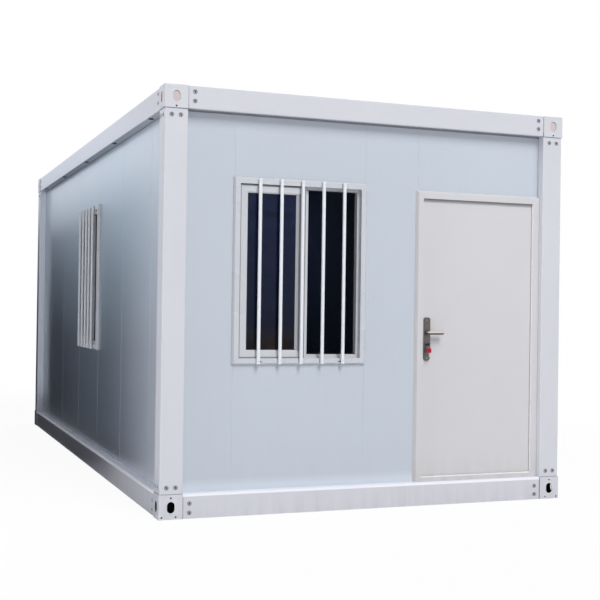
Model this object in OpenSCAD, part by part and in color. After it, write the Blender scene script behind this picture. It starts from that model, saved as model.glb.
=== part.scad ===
// Flat-pack cabin of container form: a bolted steel frame with corner fittings,
// sandwich wall panels, three guarded sliding windows and one steel door.
// X runs along the door end, Y from the door end to the back, Z up.
// The origin is the centre of the footprint, at ground level.

/* [Cabin] */
// Overall width across the door end
cabin_w = 3000; // [2500:50:3600]
// Overall length from the door end to the back
cabin_l = 6000; // [5000:50:7200]
// Overall height
cabin_h = 2800; // [2700:50:3360]

/* [Steel frame] */
// Width of a post and of a corner fitting, along the door end
post_w = 160; // [130:5:195]
// Depth of a post and of a corner fitting, along the long side
post_d = 150; // [120:5:180]
// Depth of every beam, from its outer face
beam_d = 150; // [120:5:180]
// Height of the bottom beams and bottom fittings
bottom_beam_h = 160; // [140:5:190]
// Height of the top beams and top fittings
top_beam_h = 150; // [130:5:180]
// Distance that the posts and beams lie behind the fittings' outer faces
frame_setback = 5; // [2:0.5:8]
// Wall of the folded steel sections
section_t = 4; // [3:0.5:8]
// Outside bend radius of the posts and top beams
bend_r = 8; // [7:0.5:14]
// Radius of the bottom beams' upper outer edge
ledge_r = 20; // [12:1:30]
// Diameter of the holes under the long top beams
beam_hole_d = 32; // [16:1:34]
// Distance of those holes from the beam's outer face
beam_hole_inset = 25; // [22:1:34]
// Distance between those holes
beam_hole_pitch = 1250; // [1000:50:1500]

/* [Corner fittings] */
// Plate of the corner fittings
fitting_t = 6; // [4:0.5:8]
// Corner radius of the fittings
fitting_r = 5; // [5:0.5:12]
// Thickness of the plate that blanks the ovals of the top fittings
blank_t = 3; // [2:0.5:6]
// Width of the oval holes
oval_w = 50; // [40:1:60]
// Height of the oval holes
oval_h = 73; // [62:1:88]
// Distance of the ovals' middle outwards from the middle of the fitting
oval_drop = 2; // [0:1:8]
// Diameter of the small fixing holes
fixing_hole_d = 12; // [8:0.5:16]
// Height of the row fixing holes above the ground and below the top
fixing_hole_z = 138; // [122:1:144]
// Height of the lower pair of fixing holes
low_hole_z = 16; // [14:1:24]
// Distance of the outer low hole from the fitting's edge
low_hole_outer = 20; // [16:1:40]
// Distance of the inner low hole from the fitting's edge
low_hole_inner = 113; // [90:1:116]

/* [Wall panels] */
// Thickness of the sandwich panels
panel_t = 50; // [40:5:60]
// Distance from the frame's outer face to the panels
panel_recess = 70; // [58:2:84]
// Width of a whole panel, and of a window's column
panel_w = 950; // [800:10:1140]
// Seam between two panels
panel_gap = 1; // [0.5:0.5:3]

/* [Floor and roof] */
// Thickness of the floor board
board_t = 18; // [15:1:25]
// Height of a floor joist
joist_h = 100; // [80:5:120]
// Width of a floor joist
joist_w = 50; // [40:5:60]
// Number of floor joists
joist_count = 9; // [7:1:11]
// Thickness of the ceiling panel
ceiling_t = 40; // [30:5:50]
// Thickness of the ribbed roof sheet
sheet_t = 2; // [1:0.5:4]
// Height of the roof sheet's ribs
rib_h = 30; // [20:5:35]
// Distance between the roof sheet's ribs
rib_pitch = 300; // [200:10:400]
// Depth of the roof sheet's flats below the top of the frame
roof_drop = 52; // [45:1:58]

/* [Windows] */
// Height of a window's opening
window_h = 1235; // [1040:5:1480]
// Height of a window's opening above the ground
sill_z = 995; // [850:5:1090]
// Distance from the left post to the front window's column
window_offset = 340; // [100:10:400]
// Lap of a window frame over the panels round it
window_lap = 8; // [5:1:15]
// Distance that a window frame stands proud of the panels
window_proud = 20; // [15:1:24]
// Face width of a window frame
window_face = 45; // [38:1:54]
// Distance that a window frame stands into the room
window_inner = 10; // [5:1:15]
// Width of the lip that the rear sash runs inside
window_lip = 18; // [12:1:22]
// Width of a sash's rails and stiles
sash_face = 48; // [40:1:56]
// Distance of the slid rear sash from the lip of an open window
slid_sash_gap = 10; // [2:1:20]
// Whether the side windows stand half open, as the front one does
side_windows_open = true;
// Thickness of a sash
sash_t = 22; // [18:1:24]
// Overlap of the two sashes of a window
sash_overlap = 58; // [45:1:80]
// Thickness of a pane
glass_t = 5; // [4:0.5:8]

/* [Guard bars] */
// Number of guard bars on a window
bar_count = 5; // [4:1:6]
// Diameter of a guard bar
bar_d = 24; // [20:1:30]
// Distance between guard bars
bar_pitch = 152; // [127:1:160]
// Gap between a guard bar and the window frame under it
bar_seat_gap = 0.3; // [0.2:0.1:0.5]

/* [Door] */
// Width of the door leaf
leaf_w = 913; // [750:1:1000]
// Height of the door leaf
leaf_h = 1972; // [1800:1:2080]
// Thickness of the door leaf
leaf_t = 45; // [40:1:54]
// Gap round the door leaf
leaf_gap = 5; // [5:0.5:8]
// Extra gap at the lock side, for the leaf's swinging corner
leaf_swing_gap = 2; // [2:0.5:6]
// Height of the threshold above the bottom beam
threshold_h = 30; // [20:1:36]
// Width of the stop that the leaf closes on
stop_w = 15; // [12:1:20]
// Thickness of the stop
stop_t = 15; // [12:1:18]
// Thickness of the frame behind the leaf's edges
jamb_t = 22; // [18:1:30]
// Thickness of the frame beside the hinges
hinge_jamb_t = 40; // [38:1:54]
// Thickness of the frame over the leaf
head_t = 24; // [18:1:30]
// Lap of the door frame over the panels
door_lap = 16; // [12:1:24]
// Distance that the door frame stands proud of the panels
door_proud = 24; // [20:1:28]
// Width of the bevel round the door frame
door_bevel = 15; // [10:1:20]

/* [Hinges] */
// Radius of a hinge's knuckle
knuckle_r = 8; // [7:0.5:9]
// Length of a hinge
hinge_h = 100; // [80:5:120]
// Diameter of a hinge pin
pin_d = 8; // [6:0.5:9]
// Diameter of the bore that runs on the pin
pin_bore_d = 8.2; // [8.1:0.05:9.2]
// Thickness of a hinge plate
hinge_plate_t = 2.5; // [2:0.5:3]
// Reach of a hinge plate from the pin
hinge_plate_w = 40; // [32:1:46]
// Heights of the three hinges above the ground
hinge_heights = [400, 1170, 1950]; // [300:10:2100]

/* [Lock and levers] */
// Height of the lever's spindle above the ground
spindle_z = 1208; // [1100:1:1300]
// Distance from the leaf's lock edge to the spindle
backset = 52; // [45:1:62]
// Width of a lock plate
plate_w = 50; // [44:1:60]
// Height of a lock plate
plate_h = 306; // [250:1:340]
// Thickness of a lock plate
plate_t = 8; // [5:1:10]
// Height of the spindle above the plate's middle
plate_spindle_rise = 45; // [35:1:60]
// Diameter of the spindle
spindle_d = 10; // [8:0.5:12]
// Running gap round the spindle
spindle_gap = 0.1; // [0.05:0.05:0.1]
// Diameter of a lever
lever_d = 27; // [19:1:28]
// Distance from the plate to the lever's middle
lever_reach = 38; // [30:1:42]
// Length of a lever from its spindle
lever_l = 114; // [105:1:150]
// Gap between a lever's neck and its plate
lever_gap = 0.5; // [0.3:0.1:1]
// Diameter of the lock cylinder
lock_d = 17; // [15:0.5:22]
// Diameter of the holes for the lock cylinder
lock_hole_d = 17.4; // [17.2:0.1:24]
// Depth of the lock cylinder below the spindle
lock_drop = 83; // [72:1:105]
// Distance that the lock cylinder stands proud of the plates
lock_proud = 3; // [2:0.5:5]
// Length of the key's head
key_head_l = 26; // [22:1:32]
// Height of the key's head
key_head_h = 24; // [20:1:30]
// Length of the key's shank outside the lock
key_shank_l = 14; // [10:1:18]

/* [Hidden] */

$fn = 48;
cut = 1; // overshoot of a cutting shape past the face that it cuts

steel_colour = [0.83, 0.83, 0.87];
panel_colour = [0.75, 0.78, 0.84];
trim_colour = [0.88, 0.88, 0.90];
glass_colour = [0.12, 0.15, 0.24, 0.6];
lock_colour = [0.45, 0.43, 0.42];
wood_colour = [0.55, 0.47, 0.38];

half_w = cabin_w / 2;
half_l = cabin_l / 2;
wall_bottom = bottom_beam_h;
wall_top = cabin_h - top_beam_h;
front_beam_l = cabin_w - 2 * post_w;
side_beam_l = cabin_l - 2 * post_d;
room_w = cabin_w - 2 * beam_d;
front_face = -half_l + panel_recess;       // outer face of the front panels
side_face = half_w - panel_recess;         // outer face of the right panels

window_w = panel_w;
window_left = -half_w + post_w + window_offset;
window_x = window_left + window_w / 2;
window_right = window_left + window_w;
window_top = sill_z + window_h;
clear_w = window_w + 2 * window_lap - 2 * window_face;
clear_bottom = window_face - window_lap;
clear_h = window_h + 2 * window_lap - 2 * window_face;
sash_w = (clear_w + sash_overlap) / 2;
sash_lift = 4;                             // gap over a sash, for lifting it into its track
sash_reveal = 12;                          // depth of the front sash behind the frame's face
front_sash_y = -window_proud + sash_reveal;
lip_y = front_sash_y + sash_t + 1;
rear_sash_y = lip_y + 3;
frame_fit = 2;                             // sealed gap round a window frame's body

hinge_jamb_x = half_w - post_w - hinge_jamb_t;     // face of the rebate at the hinges
leaf_right = hinge_jamb_x - leaf_gap;
leaf_left = leaf_right - leaf_w;
lock_jamb_x = leaf_left - leaf_gap - leaf_swing_gap; // face of the rebate at the lock
door_open_left = lock_jamb_x - jamb_t;
threshold_top = wall_bottom + threshold_h;
leaf_bottom = threshold_top + leaf_gap;
leaf_top = leaf_bottom + leaf_h;
rebate_top = leaf_top + leaf_gap;
door_open_top = rebate_top + head_t;
door_face_y = front_face - door_proud;
leaf_front_y = door_face_y + stop_t + leaf_gap;
leaf_back_y = leaf_front_y + leaf_t;
pin_x = (leaf_right + hinge_jamb_x) / 2;
knuckle_gap = 0.5;                         // running gap beside and between knuckles
pin_y = leaf_back_y + knuckle_r + knuckle_gap;
hinge_tab = knuckle_r - 1;                 // plates start here, clear of the other half's knuckles
spindle_x = leaf_left + backset;
plate_mid_z = spindle_z - plate_spindle_rise;
lock_z = spindle_z - lock_drop;

// Plain box between two corners
module block(low, high) {
    translate(low) cube(high - low);
}

// Rectangle with four round corners, its low corner at the origin
module round_rect(w, h, r) {
    translate([r, 0]) square([w - 2 * r, h]);
    translate([0, r]) square([w, h - 2 * r]);
    for (x = [r, w - r], y = [r, h - r])
        translate([x, y]) circle(r);
}

// Closed section of folded sheet, its low corner at the origin
module tube_section(w, h, r, t) {
    difference() {
        round_rect(w, h, r);
        translate([t, t]) round_rect(w - 2 * t, h - 2 * t, r - t);
    }
}

// Rectangle whose corner at the low X and high Y is round
module ledge_outline(w, h, r) {
    translate([r, 0]) square([w - r, h]);
    square([w, h - r]);
    translate([r, h - r]) circle(r);
}

module ledge_section(w, h, r, t) {
    difference() {
        ledge_outline(w, h, r);
        translate([t, t]) ledge_outline(w - 2 * t, h - 2 * t, r - t);
    }
}

// The post of the corner given by its signs, from fitting to fitting
module post(sx, sy) {
    w = post_w - frame_setback;
    d = post_d - frame_setback;
    color(steel_colour)
        translate([sx > 0 ? half_w - post_w : -half_w + frame_setback,
                   sy > 0 ? half_l - post_d : -half_l + frame_setback, wall_bottom])
            linear_extrude(wall_top - wall_bottom)
                tube_section(w, d, bend_r, section_t);
}

// Lays a section drawn in X (inwards) and Y (upwards) along a beam of the
// front, and centres the beam on the origin of X
module along_x(l) {
    translate([-l / 2, 0, 0]) rotate([90, 0, 90]) linear_extrude(l) children();
}

// Beams of the front: the fittings' face at Y 0, the beam set back from it
module bottom_beam(l) {
    color(steel_colour) translate([0, frame_setback, 0])
        along_x(l) ledge_section(beam_d - frame_setback, bottom_beam_h, ledge_r, section_t);
}

module top_beam(l) {
    color(steel_colour) translate([0, frame_setback, 0])
        along_x(l) tube_section(beam_d - frame_setback, top_beam_h, bend_r, section_t);
}

module long_top_beam() {
    hole_count = floor((side_beam_l / 2 - 2 * beam_hole_d) / beam_hole_pitch);
    difference() {
        top_beam(side_beam_l);
        for (i = [-hole_count : hole_count])
            translate([i * beam_hole_pitch, frame_setback + beam_hole_inset, -cut])
                cylinder(d = beam_hole_d, h = section_t + 2 * cut);
    }
}

// Puts a piece built against the front plane onto each side of the cabin
module on_front() { translate([0, -half_l, 0]) children(); }
module on_back() { mirror([0, 1, 0]) on_front() children(); }
module on_left() { translate([-half_w, 0, 0]) rotate([0, 0, -90]) children(); }
module on_right() { mirror([1, 0, 0]) on_left() children(); }

// An upright oval hole through the plate at Y 0, about X 0 and Z 0
module oval_hole(depth) {
    straight = oval_h - oval_w;
    translate([0, -cut, 0]) rotate([-90, 0, 0]) {
        for (s = [-1, 1])
            translate([0, s * straight / 2, 0]) cylinder(d = oval_w, h = depth);
        translate([-oval_w / 2, -straight / 2, 0]) cube([oval_w, straight, depth]);
    }
}

module fixing_hole(depth) {
    translate([0, -cut, 0]) rotate([-90, 0, 0]) cylinder(d = fixing_hole_d, h = depth);
}

// Fitting of the front left corner, standing on the ground: a box of plate with
// ovals in both outer faces and a round hole in the face at the ground. Where the
// ovals are blanked, a second plate behind them leaves only a shallow recess.
module fitting(h, blanked) {
    inner = fitting_t + (blanked ? blank_t : 0);
    oval_depth = fitting_t + (blanked ? cut : 2 * cut);
    depth = inner + 2 * cut;
    oval_z = h / 2 - oval_drop;
    difference() {
        linear_extrude(h) round_rect(post_w, post_d, fitting_r);
        block([inner, inner, fitting_t], [post_w - fitting_t, post_d - fitting_t, h - fitting_t]);
        translate([post_w / 2, 0, oval_z]) oval_hole(oval_depth);
        translate([0, post_d / 2, oval_z]) rotate([0, 0, -90]) oval_hole(oval_depth);
        translate([post_w / 2, 0, fixing_hole_z]) fixing_hole(depth);
        translate([0, post_d / 2, fixing_hole_z]) rotate([0, 0, -90]) fixing_hole(depth);
        translate([post_w / 2, post_d / 2, -cut]) cylinder(d = oval_w, h = depth);
        if (!blanked)
            for (x = [low_hole_outer, low_hole_inner])
                translate([x, 0, low_hole_z]) fixing_hole(depth);
    }
}

module four_corners() {
    for (mx = [0, 1], my = [0, 1])
        mirror([mx, 0, 0]) mirror([0, my, 0])
            translate([-half_w, -half_l, 0]) children();
}

module bottom_corner_fittings() {
    color(steel_colour) four_corners() fitting(bottom_beam_h, false);
}

module top_corner_fittings() {
    color(steel_colour)
        translate([0, 0, cabin_h]) mirror([0, 0, 1]) four_corners() fitting(top_beam_h, true);
}

module floor_joists() {
    run = side_beam_l - joist_w;
    joist_top = wall_bottom - board_t;
    color(wood_colour)
        for (i = [0 : joist_count - 1])
            translate([0, -run / 2 + i * run / (joist_count - 1), 0])
                block([-room_w / 2, -joist_w / 2, joist_top - joist_h], [room_w / 2, joist_w / 2, joist_top]);
}

module floor_board() {
    color(wood_colour)
        block([-room_w / 2, -side_beam_l / 2, wall_bottom - board_t],
              [room_w / 2, side_beam_l / 2, wall_bottom]);
}

module ceiling_panel() {
    color(panel_colour)
        block([-room_w / 2, -side_beam_l / 2, wall_top], [room_w / 2, side_beam_l / 2, wall_top + ceiling_t]);
}

// Upper line of the roof sheet: one trapezoid rib in the middle of each pitch
rib_top_w = 30;
rib_foot_w = 70;
function rib_line(count, z0) = [for (i = [0 : count - 1])
    let (y = (i - (count - 1) / 2) * rib_pitch)
    each [[y - rib_foot_w / 2, z0], [y - rib_top_w / 2, z0 + rib_h],
          [y + rib_top_w / 2, z0 + rib_h], [y + rib_foot_w / 2, z0]]];
function reversed(list) = [for (i = [len(list) - 1 : -1 : 0]) list[i]];

module roof_sheet() {
    count = floor((side_beam_l - rib_foot_w) / rib_pitch);
    half = side_beam_l / 2;
    z0 = cabin_h - roof_drop;
    top = concat([[-half, z0]], rib_line(count, z0), [[half, z0]]);
    under = [for (p = reversed(top)) [p[0], p[1] - sheet_t]];
    color(steel_colour)
        translate([-room_w / 2, 0, 0]) rotate([90, 0, 90])
            linear_extrude(room_w) polygon(concat(top, under));
}

// A panel of the front wall between two places and two heights
module front_panel(x0, x1, z0, z1) {
    edge = panel_gap / 2;
    chamfer = 2;
    w = x1 - x0 - 2 * edge;
    color(panel_colour)
        translate([x0 + edge, front_face, z0])
            linear_extrude(z1 - z0)
                polygon([[chamfer, 0], [w - chamfer, 0], [w, chamfer],
                         [w, panel_t], [0, panel_t], [0, chamfer]]);
}

module front_wall_left() {
    front_panel(-half_w + post_w - panel_gap / 2, window_left, wall_bottom, wall_top);
}
module front_wall_under_window() { front_panel(window_left, window_right, wall_bottom, sill_z); }
module front_wall_over_window() { front_panel(window_left, window_right, window_top, wall_top); }
module front_wall_middle() { front_panel(window_right, door_open_left, wall_bottom, wall_top); }
module front_wall_over_door() {
    front_panel(door_open_left, half_w - post_w + panel_gap / 2, door_open_top, wall_top);
}

// Seams of a wall that is centred on a whole panel, with what is left at its ends
function seams(length) = let (n = ceil((length / 2 - panel_w / 2) / panel_w - 0.001))
    [for (i = [0 : 2 * n + 1])
        i == 0 ? -length / 2 - panel_gap / 2 : i == 2 * n + 1 ? length / 2 + panel_gap / 2
            : (i - n - 0.5) * panel_w];

// Panels of a whole wall, built as if it were the front; the middle one may
// leave room for a window
module panel_row(length, with_window) {
    s = seams(length);
    middle = (len(s) - 2) / 2;
    translate([0, half_l, 0])
        for (i = [0 : len(s) - 2])
            if (with_window && i == middle) {
                front_panel(s[i], s[i + 1], wall_bottom, sill_z);
                front_panel(s[i], s[i + 1], window_top, wall_top);
            } else {
                front_panel(s[i], s[i + 1], wall_bottom, wall_top);
            }
}

module left_wall_panels() { on_left() panel_row(side_beam_l, true); }
module right_wall_panels() { on_right() panel_row(side_beam_l, true); }
module back_wall_panels() { on_back() panel_row(front_beam_l, false); }

// Cutter that bevels the edge along X at Y 0, Z 0 of a body lying towards +Y
// and +Z: run is its width on the face, depth its width on the side
module bevel_cutter(l, run, depth) {
    rotate([90, 0, 90])
        linear_extrude(l)
            polygon([[-cut, -cut], [depth + cut * depth / run, -cut], [-cut, run + cut * run / depth]]);
}

// Window frame about X 0, its opening's foot at Z 0, the panel's face at Y 0
module window_frame() {
    half = window_w / 2;
    outer = half + window_lap;
    bevel_run = 12;
    bevel_depth = window_proud - 4;
    color(trim_colour) difference() {
        union() {
            block([-outer, -window_proud, -window_lap], [outer, 0, window_h + window_lap]);
            block([-half + frame_fit, -cut, frame_fit],
                  [half - frame_fit, panel_t + window_inner, window_h - frame_fit]);
        }
        block([-clear_w / 2, -window_proud - cut, clear_bottom],
              [clear_w / 2, lip_y, clear_bottom + clear_h]);
        block([-clear_w / 2 + window_lip, lip_y - cut, clear_bottom + window_lip],
              [clear_w / 2 - window_lip, panel_t + window_inner + cut, clear_bottom + clear_h - window_lip]);
        translate([-outer - cut, -window_proud, -window_lap])
            bevel_cutter(2 * outer + 2 * cut, bevel_run, bevel_depth);
        translate([-outer - cut, -window_proud, window_h + window_lap])
            mirror([0, 0, 1]) bevel_cutter(2 * outer + 2 * cut, bevel_run, bevel_depth);
        for (m = [0, 1]) mirror([m, 0, 0])
            translate([-outer, -window_proud, window_h + 2 * window_lap])
                rotate([0, 90, 0])
                    bevel_cutter(window_h + 4 * window_lap, bevel_run, bevel_depth);
    }
}

// One sash of the given height with its low left front corner at the origin
module sash(h) {
    difference() {
        cube([sash_w, sash_t, h]);
        block([sash_face, -cut, sash_face], [sash_w - sash_face, sash_t + cut, h - sash_face]);
    }
}

module pane(h) {
    y = (sash_t - glass_t) / 2;
    block([sash_face, y, sash_face], [sash_w - sash_face, y + glass_t, h - sash_face]);
}

front_sash_h = clear_h - sash_lift;
rear_sash_h = clear_h - 2 * window_lip - sash_lift;

module at_front_sash() {
    translate([-clear_w / 2, front_sash_y, clear_bottom]) children();
}

// The rear sash stands inside the lip; in an open window it is slid behind the
// front one
module at_rear_sash(is_open) {
    closed_x = clear_w / 2 - window_lip - sash_w;
    open_x = -clear_w / 2 + window_lip + slid_sash_gap;
    translate([is_open ? open_x : closed_x, rear_sash_y, clear_bottom + window_lip]) children();
}

module window_sashes(is_open) {
    color(trim_colour) {
        at_front_sash() sash(front_sash_h);
        at_rear_sash(is_open) sash(rear_sash_h);
    }
}

module window_glass(is_open) {
    color(glass_colour) {
        at_front_sash() pane(front_sash_h);
        at_rear_sash(is_open) pane(rear_sash_h);
    }
}

module guard_bars() {
    y = -window_proud - bar_seat_gap - bar_d / 2;
    color(trim_colour)
        for (i = [0 : bar_count - 1])
            translate([(i - (bar_count - 1) / 2) * bar_pitch, y, 0])
                cylinder(d = bar_d, h = window_h);
}

module at_front_window() { translate([window_x, front_face, sill_z]) children(); }
module at_left_window() {
    translate([-side_face, 0, sill_z]) rotate([0, 0, -90]) children();
}
module at_right_window() { mirror([1, 0, 0]) at_left_window() children(); }

module front_window_frame() { at_front_window() window_frame(); }
module front_window_sashes() { at_front_window() window_sashes(true); }
module front_window_glass() { at_front_window() window_glass(true); }
module front_guard_bars() { at_front_window() guard_bars(); }
module left_window_frame() { at_left_window() window_frame(); }
module left_window_sashes() { at_left_window() window_sashes(side_windows_open); }
module left_window_glass() { at_left_window() window_glass(side_windows_open); }
module left_guard_bars() { at_left_window() guard_bars(); }
module right_window_frame() { at_right_window() window_frame(); }
module right_window_sashes() { at_right_window() window_sashes(side_windows_open); }
module right_window_glass() { at_right_window() window_glass(side_windows_open); }
module right_guard_bars() { at_right_window() guard_bars(); }

module door_frame() {
    left = door_open_left - door_lap;
    right = half_w - post_w;
    top = door_open_top + door_lap;
    bevel_depth = door_proud - 2;
    color(trim_colour) difference() {
        union() {
            block([left, door_face_y, wall_bottom], [right, front_face, top]);
            block([door_open_left, front_face - cut, wall_bottom], [right, leaf_back_y, door_open_top]);
        }
        // clear way between the stops
        block([lock_jamb_x + stop_w, door_face_y - cut, threshold_top],
              [hinge_jamb_x - stop_w, leaf_back_y + cut, rebate_top - stop_w]);
        // rebate for the leaf
        block([lock_jamb_x, door_face_y + stop_t, threshold_top],
              [hinge_jamb_x, leaf_back_y + cut, rebate_top]);
        translate([left - cut, door_face_y, top])
            mirror([0, 0, 1]) bevel_cutter(right - left + 2 * cut, door_bevel, bevel_depth);
        translate([left, door_face_y, top + cut])
            rotate([0, 90, 0])
                bevel_cutter(top - wall_bottom + 2 * cut, door_bevel, bevel_depth);
    }
}

// One knuckle and its plate; side is 1 for the frame's half and -1 for the leaf's
module hinge_half(side, z0, z1, plate_z0, plate_z1) {
    plate_y = leaf_back_y - pin_y;
    translate([0, 0, z0]) cylinder(r = knuckle_r, h = z1 - z0);
    block([side > 0 ? hinge_tab : -hinge_plate_w, plate_y, plate_z0],
          [side > 0 ? hinge_plate_w : -hinge_tab, plate_y + hinge_plate_t, plate_z1]);
    block([side > 0 ? 0 : -hinge_tab - cut, plate_y, z0],
          [side > 0 ? hinge_tab + cut : 0, plate_y + hinge_plate_t, z1]);
}

module hinge_places() {
    for (z = hinge_heights) translate([pin_x, pin_y, z]) children();
}

// Lower knuckles, plates and pins, fixed to the door frame
module door_hinge_pins() {
    color(lock_colour) hinge_places() {
        hinge_half(1, -hinge_h / 2, 0, -hinge_h / 2, hinge_h / 2);
        translate([0, 0, -hinge_h / 2]) cylinder(d = pin_d, h = hinge_h);
    }
}

// Upper knuckles and plates, fixed to the leaf
module door_hinge_plates() {
    color(lock_colour) hinge_places()
        difference() {
            hinge_half(-1, knuckle_gap, hinge_h / 2, -hinge_h / 2, hinge_h / 2);
            translate([0, 0, -cut]) cylinder(d = pin_bore_d, h = hinge_h);
        }
}

module door_leaf() {
    color(trim_colour) difference() {
        block([leaf_left, leaf_front_y, leaf_bottom], [leaf_right, leaf_back_y, leaf_top]);
        for (z = [spindle_z, lock_z])
            translate([spindle_x, leaf_front_y - cut, z]) rotate([-90, 0, 0])
                cylinder(d = lock_hole_d, h = leaf_t + 2 * cut);
    }
}

// Outline of a lock plate about its middle: tapered head, round foot
module plate_outline() {
    taper = 10;
    half = plate_w / 2;
    top = plate_h / 2;
    foot = -plate_h / 2 + half;
    polygon([[-half, foot], [half, foot], [half, top - taper], [half - taper, top],
             [-half + taper, top], [-half, top - taper]]);
    translate([0, foot]) circle(half);
}

module lock_plate() {
    rotate([90, 0, 0]) linear_extrude(plate_t) difference() {
        plate_outline();
        translate([0, spindle_z - plate_mid_z]) circle(d = spindle_d + 2 * spindle_gap);
        translate([0, lock_z - plate_mid_z]) circle(d = lock_hole_d);
    }
}

// Both lock plates and the cylinder that runs through them
module door_lock_set() {
    cylinder_l = leaf_t + 2 * plate_t + 2 * lock_proud;
    color(lock_colour) {
        translate([spindle_x, leaf_front_y, plate_mid_z]) lock_plate();
        translate([spindle_x, leaf_back_y + plate_t, plate_mid_z]) lock_plate();
        translate([spindle_x, leaf_front_y - plate_t - lock_proud, lock_z]) rotate([-90, 0, 0])
            cylinder(d = lock_d, h = cylinder_l);
    }
}

// Key in the outer side of the lock, its head upright
module door_key() {
    shank_w = 8;
    shank_t = 2.5;
    head_w = 7;
    head_r = 8;
    face = leaf_front_y - plate_t - lock_proud;
    color("crimson") translate([spindle_x, face, lock_z]) {
        block([-shank_t / 2, -key_shank_l - cut, -shank_w / 2], [shank_t / 2, 0, shank_w / 2]);
        translate([-head_w / 2, -key_shank_l - key_head_l, -key_head_h / 2])
            rotate([90, 0, 90]) linear_extrude(head_w) round_rect(key_head_l, key_head_h, head_r);
    }
}

// Lever on the outer side: neck along -Y from its plate, grip along +X
module lever(plate_face) {
    grip_y = plate_face - lever_reach;
    r = lever_d / 2;
    translate([0, grip_y, 0]) {
        rotate([-90, 0, 0]) cylinder(r = r, h = lever_reach - lever_gap);
        sphere(r);
        rotate([0, 90, 0]) cylinder(r = r, h = lever_l - r);
        translate([lever_l - r, 0, 0]) sphere(r);
    }
}

// Both levers on their spindle
module door_levers() {
    outer_face = leaf_front_y - plate_t;
    inner_face = leaf_back_y + plate_t;
    color("silver") translate([spindle_x, 0, spindle_z]) {
        lever(outer_face);
        mirror([0, 1, 0]) lever(-inner_face);
        translate([0, outer_face - cut, 0]) rotate([-90, 0, 0])
            cylinder(d = spindle_d, h = inner_face - outer_face + 2 * cut);
    }
}

bottom_corner_fittings();
top_corner_fittings();
post(-1, -1);  // front_left_post
post(1, -1);  // front_right_post
post(-1, 1);  // back_left_post
post(1, 1);  // back_right_post
on_front() bottom_beam(front_beam_l);  // bottom_front_beam
on_back() bottom_beam(front_beam_l);  // bottom_back_beam
on_left() bottom_beam(side_beam_l);  // bottom_left_beam
on_right() bottom_beam(side_beam_l);  // bottom_right_beam
translate([0, 0, wall_top]) on_front() top_beam(front_beam_l);  // top_front_beam
translate([0, 0, wall_top]) on_back() top_beam(front_beam_l);  // top_back_beam
translate([0, 0, wall_top]) on_left() long_top_beam();  // top_left_beam
translate([0, 0, wall_top]) on_right() long_top_beam();  // top_right_beam
floor_joists();
floor_board();
ceiling_panel();
roof_sheet();
front_wall_left();
front_wall_under_window();
front_wall_over_window();
front_wall_middle();
front_wall_over_door();
left_wall_panels();
right_wall_panels();
back_wall_panels();
front_window_frame();
front_window_sashes();
front_window_glass();
front_guard_bars();
left_window_frame();
left_window_sashes();
left_window_glass();
left_guard_bars();
right_window_frame();
right_window_sashes();
right_window_glass();
right_guard_bars();
door_frame();
door_hinge_pins();
door_hinge_plates();
door_leaf();
door_lock_set();
door_key();
door_levers();
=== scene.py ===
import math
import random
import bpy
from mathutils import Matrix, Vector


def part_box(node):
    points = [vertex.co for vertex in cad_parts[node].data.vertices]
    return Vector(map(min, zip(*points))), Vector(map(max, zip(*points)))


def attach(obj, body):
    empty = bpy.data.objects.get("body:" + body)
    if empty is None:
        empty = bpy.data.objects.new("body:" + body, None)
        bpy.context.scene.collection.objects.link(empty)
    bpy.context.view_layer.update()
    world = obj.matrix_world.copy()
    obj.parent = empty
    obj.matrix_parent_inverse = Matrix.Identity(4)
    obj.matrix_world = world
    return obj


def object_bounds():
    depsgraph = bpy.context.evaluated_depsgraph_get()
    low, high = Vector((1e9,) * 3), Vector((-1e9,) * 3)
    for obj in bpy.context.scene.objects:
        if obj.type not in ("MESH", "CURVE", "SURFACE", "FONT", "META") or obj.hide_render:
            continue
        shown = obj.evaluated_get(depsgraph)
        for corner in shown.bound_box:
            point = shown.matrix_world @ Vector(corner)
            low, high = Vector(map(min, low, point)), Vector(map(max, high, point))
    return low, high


bl_info = {
    "name": "Flat-pack cabin",
    "version": (1, 0, 0),
    "blender": (4, 5, 0),
    "location": "View3D > Sidebar > Cabin",
    "description": "Finishes, fixings, seals and stage for a flat-pack cabin",
    "category": "Object",
}

import bmesh
import bpy
from bpy.props import FloatProperty, FloatVectorProperty, IntProperty, PointerProperty
from mathutils import Matrix, Vector

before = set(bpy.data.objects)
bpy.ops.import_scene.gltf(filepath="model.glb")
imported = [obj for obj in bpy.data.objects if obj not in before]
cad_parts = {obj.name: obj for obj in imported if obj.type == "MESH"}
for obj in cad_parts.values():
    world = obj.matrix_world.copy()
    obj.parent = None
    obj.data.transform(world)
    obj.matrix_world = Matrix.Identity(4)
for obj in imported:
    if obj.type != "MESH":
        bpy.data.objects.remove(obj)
CAD_BOX = [list(corner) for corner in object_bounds()]

LOW, HIGH = (Vector(corner) for corner in CAD_BOX)
FRONT_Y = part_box("front_wall_middle")[0].y
SIDE_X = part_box("right_wall_panels")[1].x
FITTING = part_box("front_left_post")
FITTING_TOP = FITTING[0].z
TOP_LINE = FITTING[1].z
POST_IN_X = FITTING[1].x
POST_IN_Y = FITTING[1].y
WINDOWS = ("front", "left", "right")
SAME_PLACE = 1e-5
# Uneven weights of X, Y and Z, so that few points of a piece sort alike
SORTING = Vector((1.0, 17.3, 311.9))


# ---------------------------------------------------------------- settings

def colour_setting(name, description, default):
    return FloatVectorProperty(name=name, description=description, subtype="COLOR",
                               size=3, min=0.0, max=1.0, default=default)


def length_setting(name, description, default):
    return FloatProperty(name=name, description=description, default=default,
                         min=0.0, subtype="DISTANCE", unit="LENGTH")


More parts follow.
